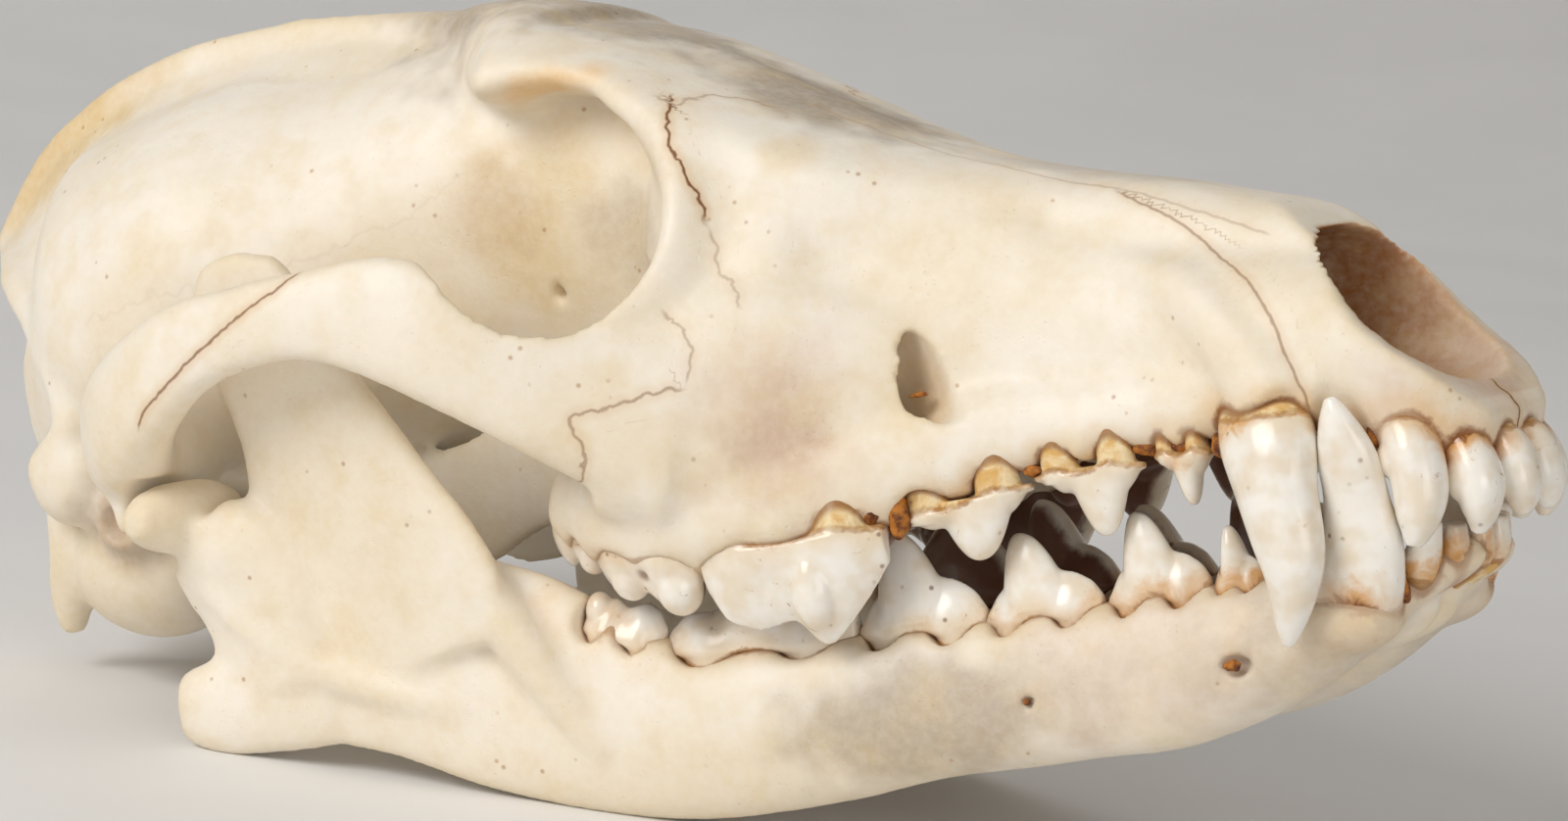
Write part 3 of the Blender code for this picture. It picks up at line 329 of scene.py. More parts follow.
# Sutures: strength, waviness, then points on the left side. They are mirrored and snapped to the bone.
SUTURES = {
    "frontomaxillary": (1.0, 0.5, (
        (116.8, 17.4, 46.9), (117.9, 21.6, 44.2), (119.3, 23.5, 40.8), (120.8, 23.9, 38),
        (121.8, 23.9, 35.2), (122.3, 23.7, 31.9),
    )),
    "frontomaxillary_end": (0.35, 0.5, (
        (122.3, 23.7, 31.9), (123, 24.2, 28.7), (124.9, 25.2, 25.3), (126.7, 26.6, 22),
    )),
    "brow": (0.4, 0.9, (
        (115.4, 20, 46.9), (118.1, 17.5, 46.2), (119.4, 13.9, 46), (121.9, 11.1, 45.1),
        (124.8, 9.1, 43.6),
    )),
    "nasal": (0.3, 0.12, (
        (124.8, 4.5, 44.5), (136.2, 4.6, 38.2), (145.6, 5.1, 34), (153.1, 6, 31), (161.9, 6.4, 28.7),
        (172.3, 7.8, 24.5), (180.2, 8.6, 20.7),
    )),
    "nasal_middle": (0.1, 0.1, ((116, 0, 48), (130, 0, 42), (150, 0, 32), (168, 0, 28), (177, 0, 25))),
    "frontal_middle": (0.1, 0.8, ((76, 0, 62), (88, 0, 61), (100, 0, 56), (116, 0, 48))),
    "premaxilla": (0.6, 0.12, (
        (161.9, 7, 28.7), (168.1, 8.7, 25.2), (173.8, 10.2, 20.8), (178.8, 12.8, 16.2),
        (181.8, 14.8, 11.9), (183.2, 15.8, 7.8), (184.3, 15.9, 4.7), (184.2, 14.5, 2.1),
    )),
    "premaxilla_front": (1.0, 0.4, ((197, 0, 4.4), (199.2, 0, 2), (200, 0, -1.6), (199.5, 0, -4))),
    "cheek_rear": (0.8, 0.18, (
        (86, 46.6, 33.8), (81.7, 48.4, 32), (77, 49.2, 30.1), (71.6, 49.4, 27.5), (66.9, 49.3, 25.1),
        (63.5, 49, 23.1), (60.4, 48.2, 20.5),
    )),
    "cheek_front": (0.55, 0.5, (
        (121.4, 31.3, 15.4), (118, 33.7, 15.2), (114.5, 36, 14.7), (111.2, 38.2, 14),
        (111.6, 37, 9.5), (106.6, 33.4, 7),
    )),
    "tear_bone": (0.4, 0.4, ((121.4, 31.3, 15.4), (122, 30.5, 17.8), (121.4, 29.7, 21), (118, 29.5, 24))),
    "vault_side": (0.06, 0.7, ((86, 16, 44), (78, 19, 40), (66, 25, 37), (52, 31, 36), (38, 30, 34))),
    "skull_base": (0.4, 0.4, ((40, 0, 5), (40, 7, 6), (44, 9, 8))),
    "palate_middle": (0.4, 0.3, ((112, 0, 1), (140, 0, 2), (170, 0, 2), (186, 0, 0))),
    "palate_cross": (0.3, 0.6, ((124, 0, 1), (124, 12, 1), (118, 18, 1))),
}


# Shapes


def object_of(name, data):
    made = bpy.data.objects.new(name, data)
    bpy.context.scene.collection.objects.link(made)
    return made


def mesh_from(bm):
    """The mesh that a bmesh describes. The bmesh is freed."""
    mesh = bpy.data.meshes.new("mesh")
    bm.to_mesh(mesh)
    bm.free()
    return mesh


def mirrored(stations, side):
    """The stations with Y towards one side of the skull: 1 for its left, -1 for its right."""
    return [(x, side * y, z, *sizes) for x, y, z, *sizes in stations]


def smooth_stations(stations, steps):
    """Stations on a Catmull-Rom curve through the given ones, in place and in size."""
    keys = np.array(stations, float)
    padded = np.vstack([2 * keys[0] - keys[1], keys, 2 * keys[-1] - keys[-2]])
    rows = []
    for i in range(len(keys) - 1):
        a, b, c, d = padded[i : i + 4]
        for t in np.arange(steps) / steps:
            curve = 2 * b + (c - a) * t + (2 * a - 5 * b + 4 * c - d) * t * t
            rows.append((curve + (3 * b - a - 3 * c + d) * t**3) / 2)
    rows = np.array([*rows, keys[-1]])
    rows[:, 3:] = np.maximum(rows[:, 3:], keys[:, 3:].min(axis=0))
    return rows


def ring(middle, across, upward, sizes, powers, count):
    """Points round one section, a superellipse with its own height above and below the middle."""
    half, above, below = sizes
    points = []
    for i in range(count):
        angle = 2 * math.pi * i / count
        c, s = math.cos(angle), math.sin(angle)
        power = powers[0] if s > 0 else powers[1]
        height = above if s > 0 else below
        aside = across * (half * math.copysign(abs(c) ** (2 / power), c))
        points.append(middle + aside + upward * (height * math.copysign(abs(s) ** (2 / power), s)))
    return points


def loft(stations, upward=UP, powers=(2, 2), steps=6, count=RING_POINTS):
    """A closed mesh through sections that stand square to the line of their middles."""
    rows = smooth_stations(stations, steps)
    middles = [Vector(row[:3]) for row in rows]
    bm = bmesh.new()
    rings = []
    for i, middle in enumerate(middles):
        along = (middles[min(i + 1, len(rows) - 1)] - middles[max(i - 1, 0)]).normalized()
        across = along.cross(Vector(upward)).normalized()
        points = ring(middle, across, across.cross(along), rows[i][3:], powers, count)
        rings.append([bm.verts.new(point * MM) for point in points])
    for first, second in zip(rings, rings[1:]):
        for i in range(count):
            j = (i + 1) % count
            bm.faces.new((first[i], first[j], second[j], second[i]))
    bm.faces.new(rings[0])
    bm.faces.new(rings[-1])
    bmesh.ops.triangulate(bm, faces=[f for f in bm.faces if len(f.verts) > 4])
    bmesh.ops.recalc_face_normals(bm, faces=bm.faces)
    return mesh_from(bm)


def lofts(rows, side=1):
    """One loft for each row: its stations, then what counts as up and its two powers, if given."""
    return [loft(mirrored(stations, side), *shape) for stations, *shape in rows]


def ellipsoid(middle, halves, side=1, segments=32):
    """A closed ball stretched to three half sizes."""
    bm = bmesh.new()
    place = Matrix.Translation(Vector((middle[0], side * middle[1], middle[2])) * MM)
    matrix = place @ Matrix.Diagonal((*(h * MM for h in halves), 1))
    bmesh.ops.create_uvsphere(bm, u_segments=segments, v_segments=segments // 2, radius=1, matrix=matrix)
    return mesh_from(bm)


def ellipsoids(rows, side=1, segments=32):
    return [ellipsoid(middle, halves, side, segments) for middle, halves in rows]


def prism(outline, low, high):
    """A flat outline in X and Z, drawn out along Y from low to high."""
    bm = bmesh.new()
    near, far = ([bm.verts.new((x * MM, y * MM, z * MM)) for x, z in outline] for y in (low, high))
    bm.faces.new(near)
    bm.faces.new(far)
    for i in range(len(outline)):
        j = (i + 1) % len(outline)
        bm.faces.new((near[i], near[j], far[j], far[i]))
    bmesh.ops.triangulate(bm, faces=bm.faces)
    bmesh.ops.recalc_face_normals(bm, faces=bm.faces)
    return mesh_from(bm)


def baked_mesh(obj):
    """The object's mesh as its modifiers leave it."""
    bpy.context.view_layer.update()
    shown = obj.evaluated_get(bpy.context.evaluated_depsgraph_get())
    return bpy.data.meshes.new_from_object(shown)


def bmesh_of(meshes):
    bm = bmesh.new()
    for mesh in meshes:
        bm.from_mesh(mesh)
    return bm


def joined(meshes):
    """One mesh that holds all of these, still overlapping."""
    return mesh_from(bmesh_of(meshes))


def largest_shell(mesh):
    """Leaves only the connected surface with the most points."""
    edges = edges_of(mesh)
    label = np.arange(len(mesh.vertices))
    while True:
        low = np.minimum(label[edges[:, 0]], label[edges[:, 1]])
        before = label.copy()
        np.minimum.at(label, edges[:, 0], low)
        np.minimum.at(label, edges[:, 1], low)
        label = label[label]
        if np.array_equal(before, label):
            break
    names, counts = np.unique(label, return_counts=True)
    if len(names) == 1:
        return mesh
    return without(mesh, label != names[counts.argmax()])


def without(mesh, unwanted):
    """The mesh without the points that are marked as unwanted."""
    bm = bmesh_of([mesh])
    bmesh.ops.delete(bm, geom=[v for v, out in zip(list(bm.verts), unwanted) if out], context="VERTS")
    return mesh_from(bm)


def skin(meshes, voxel, smoothing):
    """Melts overlapping closed pieces into one skin and rounds the creases between them."""
    obj = object_of("skin", joined(meshes))
    remesh = obj.modifiers.new("melt", "REMESH")
    remesh.mode = "VOXEL"
    remesh.voxel_size = voxel * MM
    rounding = obj.modifiers.new("round", "SMOOTH")
    rounding.factor = 0.5
    rounding.iterations = smoothing
    mesh = largest_shell(baked_mesh(obj))
    bpy.data.objects.remove(obj)
    return mesh


def cut(mesh, cutters):
    """The mesh without what any of the closed cutters holds."""
    collection = bpy.data.collections.new("cutters")
    bpy.context.scene.collection.children.link(collection)
    for cutter in cutters:
        collection.objects.link(bpy.data.objects.new("cutter", cutter))
    obj = object_of("cut", mesh)
    step = obj.modifiers.new("cut", "BOOLEAN")
    step.operation = "DIFFERENCE"
    step.operand_type = "COLLECTION"
    step.collection = collection
    step.solver = "MANIFOLD"
    made = baked_mesh(obj)
    for used in [*collection.objects, obj]:
        bpy.data.objects.remove(used)
    bpy.data.collections.remove(collection)
    return made


# Points, normals and values on a mesh, in millimetres

HOLLOW_LIMITS = (-0.6, 0.8)


def rows_of(items, key, width, kind=np.float32):
    """One value of every vertex or edge, as the rows of an array."""
    flat = np.empty(len(items) * width, kind)
    items.foreach_get(key, flat)
    return flat.reshape(-1, width)


def points_of(mesh):
    return rows_of(mesh.vertices, "co", 3) / MM


def normals_of(mesh):
    return rows_of(mesh.vertices, "normal", 3)


def edges_of(mesh):
    return rows_of(mesh.edges, "vertices", 2, np.int64)


def left_points(points):
    """The points with those of the right side mirrored over to the left."""
    return np.stack([points[:, 0], np.abs(points[:, 1]), points[:, 2]], axis=1)


def move_points(mesh, points):
    mesh.vertices.foreach_set("co", (points * MM).astype(np.float32).ravel())
    mesh.update()


def averaged(values, edges, rounds):
    """Values smoothed over the mesh, each with those along its edges."""
    count = np.bincount(edges.ravel(), minlength=len(values))[:, None]
    values = values.astype(np.float64)
    for _ in range(rounds):
        total = np.zeros_like(values)
        for k in range(values.shape[1]):
            ends = values[:, k]
            total[:, k] = np.bincount(edges[:, 0], ends[edges[:, 1]], len(values))
            total[:, k] += np.bincount(edges[:, 1], ends[edges[:, 0]], len(values))
        values = (values + total / count) / 2
    return values


def hollowness(mesh, rounds):
    """How far each point lies under (+) or over (-) the smoothed surface, within limits."""
    points = points_of(mesh)
    drift = averaged(points, edges_of(mesh), rounds) - points
    return np.clip((drift * normals_of(mesh)).sum(axis=1), *HOLLOW_LIMITS)


def noise_at(points, size, seed, detail=0):
    """Smooth noise between about -1 and 1 at points in millimetres."""
    shift = Vector((seed * 17.3, seed * 9.1, seed * 5.7))
    if detail:
        return np.array([noise.fractal(Vector(p) / size + shift, 0.8, 2, detail) for p in points])
    return np.array([noise.noise(Vector(p) / size + shift) for p in points])


def store(mesh, name, values):
    """Keeps one number for each point of the mesh, for its material to read."""
    layer = mesh.attributes.new(name, "FLOAT", "POINT")
    layer.data.foreach_set("value", np.asarray(values, np.float32))


def tree_of(meshes):
    bm = bmesh_of(meshes)
    tree = BVHTree.FromBMesh(bm)
    bm.free()
    return tree


def distance_to(points, tree, reach):
    """Distance from each point to a surface, up to a reach, in millimetres."""
    found = np.full(len(points), float(reach))
    for i, p in enumerate(points):
        hit = tree.find_nearest(Vector(p) * MM, reach * MM)
        if hit[0] is not None:
            found[i] = hit[3] / MM
    return found


# Teeth

CONE_COUNT = 24
CROWN_SECTIONS = 41
# The roots' places along a blade and how wide a root is, as shares of the blade's length.
ROOT_PLACES = (0.25, 0.77)
ROOT_SPREAD = 0.14
# How sharp a crown's edge is, and how high the ridge beside a main cusp stands.
CUSP_POWER = 1.5
RIDGE_RISE = 0.3
# The main cusp: its place from the front, and how far it spreads ahead and behind at its foot.
MAIN_CUSPS = {
    "P1": (0.46, 0.3, 0.3), "P2": (0.44, 0.34, 0.3), "P3": (0.45, 0.34, 0.3), "p1": (0.6, 0.42, 0.26),
    "p2": (0.64, 0.44, 0.22), "p3": (0.64, 0.44, 0.22), "p4": (0.64, 0.44, 0.22),
}
# A main cusp's sections: height, width and length as shares of the whole.
CUSP_CONE = (
    (0.12, 1, 1), (0.4, 0.9, 0.82), (0.66, 0.74, 0.62), (0.84, 0.56, 0.44), (0.94, 0.38, 0.28),
    (0.985, 0.2, 0.14), (1.0, 0.06, 0.04),
)
# How much of the root shows between the bone and the enamel, how far the enamel dips over each root
# and how deep the bone is notched there.
TOOTH_NECKS = {
    "P1": (1, 0.5, 0.9), "P2": (1.6, 0.7, 1.6), "P3": (1.6, 0.7, 1.8), "P4": (0, 0.8, 0.6),
    "M1": (-0.2, 0.7, 0.4), "M2": (-0.2, 0.5, 0.3), "p1": (0, 0.8, 0.8), "p2": (0.6, 2, 1.7),
    "p3": (0.6, 2.1, 1.8), "p4": (0.6, 2.2, 1.9), "m1": (0.4, 1.7, 1.6), "m2": (0.2, 1.2, 1),
    "m3": (0, 0.6, 0),
}
# Further cusps, which also give the upper molars their inner halves: middle, then half sizes.
LOBES = {
    "I1": (((199.4, 1.1, -7.2), (1, 0.8, 2.2)), ((199.2, 4.7, -7), (1, 0.8, 2))),
    "I2": (((196.2, 9.4, -6.4), (1.2, 1, 2.2)),),
    "I3": (((190.8, 12.6, -3.4), (1.4, 1.4, 1.8)),),
    "P4": (((135.2, 20.6, -1.5), (2.4, 2.6, 3.4)), ((129.4, 25.6, -7.6), (2.6, 2.6, 4.6))),
    "M1": (
        ((111.5, 22.2, -1.6), (4.4, 6.4, 3.4)), ((113.6, 27, -5.4), (2.6, 2.8, 3.2)),
        ((107.4, 26.8, -3.4), (2.3, 2.6, 2.9)),
    ),
    "M2": (((102, 20.8, 0.6), (2.8, 4.6, 2.6)), ((101.6, 25.2, -1), (1.6, 1.8, 2))),
    "m2": (((105, 23.4, -9.6), (1.9, 1.9, 2.6)), ((101, 24.6, -7), (1.7, 1.8, 2.2))),
}
# Shallow dents in the crowns: middle, radius and depth.
TOOTH_DENTS = {
    "P4": (((126, 29.6, -6.8), 2.2, 1.1), ((128, 29.4, -9.6), 1.4, 0.5)),
    "M1": (((110.4, 29.4, -3.8), 1.4, 0.5),),
    "P2": (((154.6, 17.8, -1.6), 1.2, 0.3),),
    "p4": (((131, 18.6, -11), 1.4, 0.4),),
    "p3": (((145.2, 16.6, -11), 1.3, 0.4),),
}
# Roots deeper than this under the enamel's edge don't stain the bone over them.
DEEP_ROOT = 1.9
# Where the roots of the lower front teeth begin to lean back into the chin, and how much.
CHIN_NECKS = ((172, 187, 192), (-21, -20, -17))
CHIN_LEAN = 1.1


def scallop(share):
    """How far the enamel dips towards each root: 1 in the middle of a root, 0 between them."""
    return sum(np.exp(-(((share - place) / ROOT_SPREAD) ** 2)) for place in ROOT_PLACES)


def blade_tooth(name, front, back, half, height, root, profile, side, toward):
    """A premolar or molar: a swelling crown with an edge of cusps, over two narrower roots."""
    bare, dip = TOOTH_NECKS[name][:2]
    front, back = (Vector((x, side * y, z)) for x, y, z in (front, back))
    length = (back - front).length
    up = Vector((0, 0, toward))
    steps = np.linspace(0, 1, CROWN_SECTIONS)
    edge = np.interp(steps, *np.array(profile).T)
    if name in MAIN_CUSPS:
        edge = np.minimum(edge, RIDGE_RISE + 0.35 * edge)
    edge = np.convolve(np.pad(edge, 2, "edge"), (0.1, 0.2, 0.4, 0.2, 0.1), "valid")
    # The crown narrows towards both ends and swells a little over each root.
    crown = []
    for share, rise in zip(steps, edge):
        bulge = scallop(share)
        width = half * (0.2 + 0.8 * math.sin(math.pi * (0.04 + 0.92 * share)) ** 0.55)
        width *= 0.9 + 0.16 * bulge
        middle = front.lerp(back, share) + up * bare
        crown.append((*middle, width, max(height * rise - bare, 0.5), 0.3 + dip * bulge))
    pieces = [loft(crown, up, (CUSP_POWER, 2), 1, CONE_COUNT)]
    if name in MAIN_CUSPS:
        place, ahead, behind = MAIN_CUSPS[name]
        tip = front.lerp(back, place)
        cone = [
            (*(tip + up * height * rise), half * wide, ahead * length * long, behind * length * long)
            for rise, wide, long in CUSP_CONE
        ]
        pieces.append(loft(cone, FORWARD, steps=4, count=CONE_COUNT))
    # Each root's sections: how far they lie up the tooth, and their share of its thickness.
    for place in ROOT_PLACES:
        middle = front.lerp(back, place)
        neck = [
            (*(middle + up * rise), half * wide, length * 0.2 * wide, length * 0.2 * wide)
            for rise, wide in ((bare + 0.8, 0.8), (bare - 1, 0.84), (-2.6, 0.8), (-root - 1, 0.5))
        ]
        pieces.append(loft(neck, FORWARD, steps=3, count=CONE_COUNT))
    return pieces


def blade_enamel(points, name, front, back, toward):
    """How far each point lies past the enamel's edge, and on the tongue's side of the tooth's middle."""
    bare, dip = TOOTH_NECKS[name][:2]
    share = (front[0] - points[:, 0]) / (front[0] - back[0])
    line = front[2] + (back[2] - front[2]) * share
    edge = bare - 0.1 - dip * scallop(np.clip(share, 0, 1))
    inner = front[1] + (back[1] - front[1]) * share - np.abs(points[:, 1])
    return toward * (points[:, 2] - line) - edge, inner


def cone_enamel(points, stations):
    """How far each point lies past the enamel's edge, which is just below the second station."""
    neck, tip = np.array(stations[1][:3]), np.array(stations[-1][:3])
    axis = (tip - neck) / np.linalg.norm(tip - neck)
    off = left_points(points) - neck
    across = np.abs(off - np.outer(off @ axis, axis)).max(axis=1)
    return off @ axis + 0.9 + 0.2 * across


def dented(mesh, dents, side):
    """Pushes shallow dents into a tooth and says how dark each point is in them."""
    points, normals = points_of(mesh), normals_of(mesh)
    dark = np.zeros(len(points))
    for (x, y, z), radius, depth in dents:
        reach = np.linalg.norm(points - (x, side * y, z), axis=1) / radius
        share = np.exp(-(reach**2) * 2)
        points -= normals * (depth * share)[:, None]
        dark = np.maximum(dark, share)
    move_points(mesh, points)
    return dark


def tooth_set(cones, blades, side, toward):
    """Each tooth of one side: its mesh, then how its points lie to the enamel, the tongue and dents."""
    made = []
    for name, stations in cones.items():
        cone = loft(mirrored(stations, side), FORWARD, steps=8, count=CONE_COUNT)
        mesh = skin([cone, *ellipsoids(LOBES.get(name, ()), side)], TOOTH_VOXEL, smoothing=4)
        past = cone_enamel(points_of(mesh), stations)
        made.append((mesh, past, np.zeros(len(past)), np.zeros(len(past))))
    for name, sizes in blades.items():
        pieces = blade_tooth(name, *sizes, side, toward) + ellipsoids(LOBES.get(name, ()), side)
        mesh = skin(pieces, TOOTH_VOXEL, smoothing=3)
        dark = dented(mesh, TOOTH_DENTS.get(name, ()), side)
        made.append((mesh, *blade_enamel(points_of(mesh), name, *sizes[:2], toward), dark))
    return made


def crowns_of(teeth):
    """A tree of these teeth without their deep roots."""
    return tree_of([without(mesh, past < -DEEP_ROOT) for mesh, past, *_ in teeth])


def tuck_roots(teeth):
    """Leans the deep roots of the lower front teeth back, so that they stay inside the chin."""
    for mesh, *_ in teeth:
        points = points_of(mesh)
        depth = np.interp(points[:, 0], *CHIN_NECKS) - points[:, 2]
        points[:, 0] -= CHIN_LEAN * np.clip(depth, 0, None) * (points[:, 0] > CHIN_NECKS[0][0])
        move_points(mesh, points)


def tooth_row(teeth, bone):
    """One mesh of these teeth, with what its material needs to know at each point."""
    meshes, *values = zip(*teeth)
    row = joined(meshes)
    for name, parts in zip(("enamel", "inner", "dent"), values):
        store(row, name, np.concatenate(parts))
    store(row, "neck", distance_to(points_of(row), tree_of([bone]), reach=6))
    store(row, "hollow", hollowness(row, rounds=12))
    store_dirt(row, TOOTH_DIRT)
    return row


# Bones

CRANIUM_LOFTS = (
    (VAULT,), (FRONTAL_SHIELD, UP, (2.5, 2)), (FACE, UP, (2.3, 4)), (NASAL_BONES, UP, (3.2, 2)),
    (SAGITTAL_CREST, UP, (3, 2)), (CREST_FLARE, UP, (1.1, 2)), (OCCIPUT, FORWARD, (2, 1.3)),
    (PALATE, UP, (3, 3)), (BASICRANIUM,),
)
CRANIUM_SIDE_LOFTS = (
    (ARCH, UP, (2.4, 2.4)), (CHEEK, UP, (2.2, 2.6)), (SNOUT_WALL,), (ORBIT_RIM, FORWARD),
    (ALVEOLAR_RIDGE,), (CANINE_JUGUM, FORWARD), (NUCHAL_CREST, FORWARD),
    (PAROCCIPITAL_PROCESS, FORWARD), (PTERYGOID_PLATE,), (POSTGLENOID_PROCESS,),
)
JAW_LOFTS = (
    (JAW_BODY, UP, (2.4, 2.2)), (ANGULAR_PROCESS,), (CORONOID_PLATE, FORWARD, (2.6, 2.6)),
    (CORONOID_RIDGE, (0, 1, 0)), (CONDYLOID_RIDGE,), (CONDYLE_NECK, FORWARD), (CONDYLE,),
)
# The hollow that the condyle of the jaw turns in.
GLENOID_CAVITY = ((55.4, 24, 10.5, 4.9, 4.9, 4.9), (55.4, 50, 10.5, 4.9, 4.9, 4.9))
# The outline, seen from the side, of what is cut away past the middle between the jaw halves.
JAW_MIDDLE = ((100, -60), (240, -60), (240, 30), (100, 30))
# Places where the bone is rounder than the lofts make it: middle, half sizes, rounds of smoothing.
SOFT_PATCHES = (((115, 23, 38), (18, 16, 22), 70), ((92, 22, 49), (15, 13, 13), 36))
# Small holes for nerves and vessels: middle, then half sizes along X, Y and Z.
CRANIUM_HOLES = (
    ((94, 13.4, 28.2), (0.7, 3, 1.1)), ((90, 13.4, 22), (1.2, 3, 1.6)), ((84, 14.6, 18), (1.6, 3, 1.4)),
)
JAW_HOLES = (((171.7, 16, -21.7), (2, 2.4, 1.1)), ((148.4, 18.6, -22.7), (0.9, 2.2, 0.7)))
# How fine the first skin over the pieces is, and the segments of small balls.
FIRST_VOXEL = 0.6
SMALL_BALL = 16


def furcations(blades, side, toward, rise):
    """Low humps of bone between the two roots of each premolar and molar."""
    made = []
    for front, back, half, *_ in blades.values():
        middle = Vector(front).lerp(Vector(back), sum(ROOT_PLACES) / 2)
        length = (Vector(back) - Vector(front)).length
        middle.z += toward * (rise - 2.4)
        made.append(ellipsoid(middle, (length * 0.12 + 0.3, half + 0.6, 3), side, SMALL_BALL))
    return made


def sockets(blades, side, toward):
    """The notches in the edge of the bone where each root goes in."""
    made = []
    for name, (front, back, half, *_) in blades.items():
        notch = TOOTH_NECKS[name][2]
        if not notch:
            continue
        length = (Vector(back) - Vector(front)).length
        for place in ROOT_PLACES:
            middle = Vector(front).lerp(Vector(back), place)
            middle.z += toward * 1.5
            made.append(ellipsoid(middle, (length * 0.19, half + 3, notch + 1.5), side, SMALL_BALL))
    return made


def cranium_bone():
    pieces = [*lofts(CRANIUM_LOFTS), ellipsoid(*FRONT_TEETH_BED)]
    cuts = [
        loft(NASAL_CAVITY, powers=(2.5, 2.4)),
        loft(CHOANA),
        ellipsoid(*FORAMEN_MAGNUM),
        prism(NOSE_FRONT, -40, 40),
    ]
    for side in (1, -1):
        pieces += lofts(CRANIUM_SIDE_LOFTS, side)
        pieces += ellipsoids((BULLA, OCCIPITAL_CONDYLE, MASTOID, EAR_TUBE), side)
        pieces += furcations(UPPER_BLADES, side, -1, 0.2)
        cuts += [
            ellipsoid(*EAR_HOLE, side),
            loft(mirrored(INFRAORBITAL_FORAMEN, side)),
            ellipsoid(*ORBIT, side),
            loft(mirrored(GLENOID_CAVITY, side), steps=2),
            loft(mirrored(LOWER_CANINE_BED, side), FORWARD),
            *ellipsoids(CRANIUM_HOLES, side, SMALL_BALL),
            *sockets(UPPER_BLADES, side, -1),
        ]
    whole = skin(pieces, FIRST_VOXEL, smoothing=13)
    mesh = skin([cut(whole, cuts)], BONE_VOXEL, smoothing=6)
    for patch in SOFT_PATCHES:
        soften(mesh, *patch)
    return mesh


def jaw_bone(side):
    pieces = [
        *lofts(JAW_LOFTS, side),
        *ellipsoids((SYMPHYSIS, LOWER_CANINE_BASE), side),
        *furcations(LOWER_BLADES, side, 1, 0.7),
    ]
    inner, outer = (-60, GAP / 2) if side > 0 else (-GAP / 2, 60)
    cuts = [
        prism(JAW_MIDDLE, inner, outer),
        *ellipsoids(JAW_HOLES, side, SMALL_BALL),
        *sockets(LOWER_BLADES, side, 1),
    ]
    whole = skin(pieces, FIRST_VOXEL, smoothing=9)
    mesh = skin([cut(whole, cuts)], BONE_VOXEL, smoothing=2)
    points = points_of(mesh)
    points[:, 1] = side * np.maximum(side * points[:, 1], GAP / 2)
    move_points(mesh, points)
    return mesh


def soften(mesh, middle, halves, rounds):
    """Rounds the bone inside one soft-edged patch on each side."""
    points = points_of(mesh)
    off = left_points(points) - middle
    share = np.clip(2 - 2 * np.linalg.norm(off / halves, axis=1), 0, 1)[:, None]
    move_points(mesh, points + (averaged(points, edges_of(mesh), rounds) - points) * share)


def stand_on_floor(mesh):
    """Flattens what would reach under the floor."""
    up = np.array(POSE.inverted().to_3x3() @ Vector(UP))
    origin = np.array(POSE.inverted() @ Vector((0, 0, 0))) / MM
    points = points_of(mesh)
    height = (points - origin) @ up
    move_points(mesh, points + np.outer(np.maximum(-height, 0), up))


def roughen(mesh, seed):
    """The slight unevenness of real bone, over a few millimetres and over tenths of one."""
    points, normals = points_of(mesh), normals_of(mesh)
    rise = 0.16 * noise_at(points, size=9, seed=seed) + 0.05 * noise_at(points, size=2.2, seed=seed + 1)
    move_points(mesh, points + normals * rise[:, None])


# Where the sutures run

# How far from a suture its stain reaches, the steps along it, and the sizes of its larger and smaller
# waves, all in millimetres.
SEAM_REACH = 1.5
SEAM_STEP = 0.2
WAVE_SIZES = (1.6, 0.6)
# How far points look for a suture, where its strength has faded to nothing and over what distance.
SEAM_SEARCH = 2.4
SEAM_FADED = 2.25
SEAM_FADE = 0.6
# The steps over which a suture fades out at each end.
SEAM_ENDS = 6


def seam_samples(tree):
    """Points along every suture: place, way it runs, surface normal and strength."""
    samples = []
    for index, (strength, wave, line) in enumerate(SUTURES.values()):
        middle_line = all(y == 0 for x, y, z in line)
        for side in (1,) if middle_line else (1, -1):
            keys = np.array([(x, side * y, z, 1) for x, y, z in line], float)
            dense = smooth_stations(keys, 12)[:, :3]
            lengths = np.r_[0, np.cumsum(np.linalg.norm(np.diff(dense, axis=0), axis=1))]
            at = np.arange(0, lengths[-1], SEAM_STEP)
            path = np.stack([np.interp(at, lengths, dense[:, k]) for k in range(3)], axis=1)
            for i, (p, t) in enumerate(zip(path, np.gradient(path, axis=0))):
                place, normal = tree.find_nearest(Vector(p) * MM)[:2]
                aside = Vector(t).cross(normal).normalized()
                sway = noise.noise(Vector((at[i] / WAVE_SIZES[0], index * 7.7, side * 3.1)))
                sway += 0.5 * noise.noise(Vector((at[i] / WAVE_SIZES[1], index * 3.3, side * 5.9)))
                place = place / MM + aside * sway * wave * WAVE_SIZES[0]
                share = strength * min(1.0, min(i, len(path) - 1 - i) / SEAM_ENDS)
                samples.append((place, Vector(t), normal, share))
    return samples


def store_seams(mesh):
    """Signed distance to the nearest suture and its strength, for each point."""
    samples = seam_samples(tree_of([mesh]))
    kd = KDTree(len(samples))
    for i, sample in enumerate(samples):
        kd.insert(sample[0], i)
    kd.balance()
    points = points_of(mesh)
    signed = np.full(len(points), SEAM_REACH)
    strengths = np.zeros(len(points))
    for n, p in enumerate(points):
        place, i, distance = kd.find(Vector(p))
        if distance > SEAM_SEARCH:
            continue
        tangent, normal, strength = samples[i][1:]
        across = tangent.cross(normal).normalized()
        signed[n] = max(-SEAM_REACH, min(SEAM_REACH, (Vector(p) - place).dot(across)))
        strengths[n] = strength * min(1.0, max(0.0, (SEAM_FADED - distance) / SEAM_FADE))
    store(mesh, "seam", signed)
    store(mesh, "seam_strength", strengths)


# Colours


def linear(red, green, blue):
    """A colour given as it looks on screen, 0 to 255, in the linear values that materials use."""
    return tuple((c / 255) ** 2.2 for c in (red, green, blue))


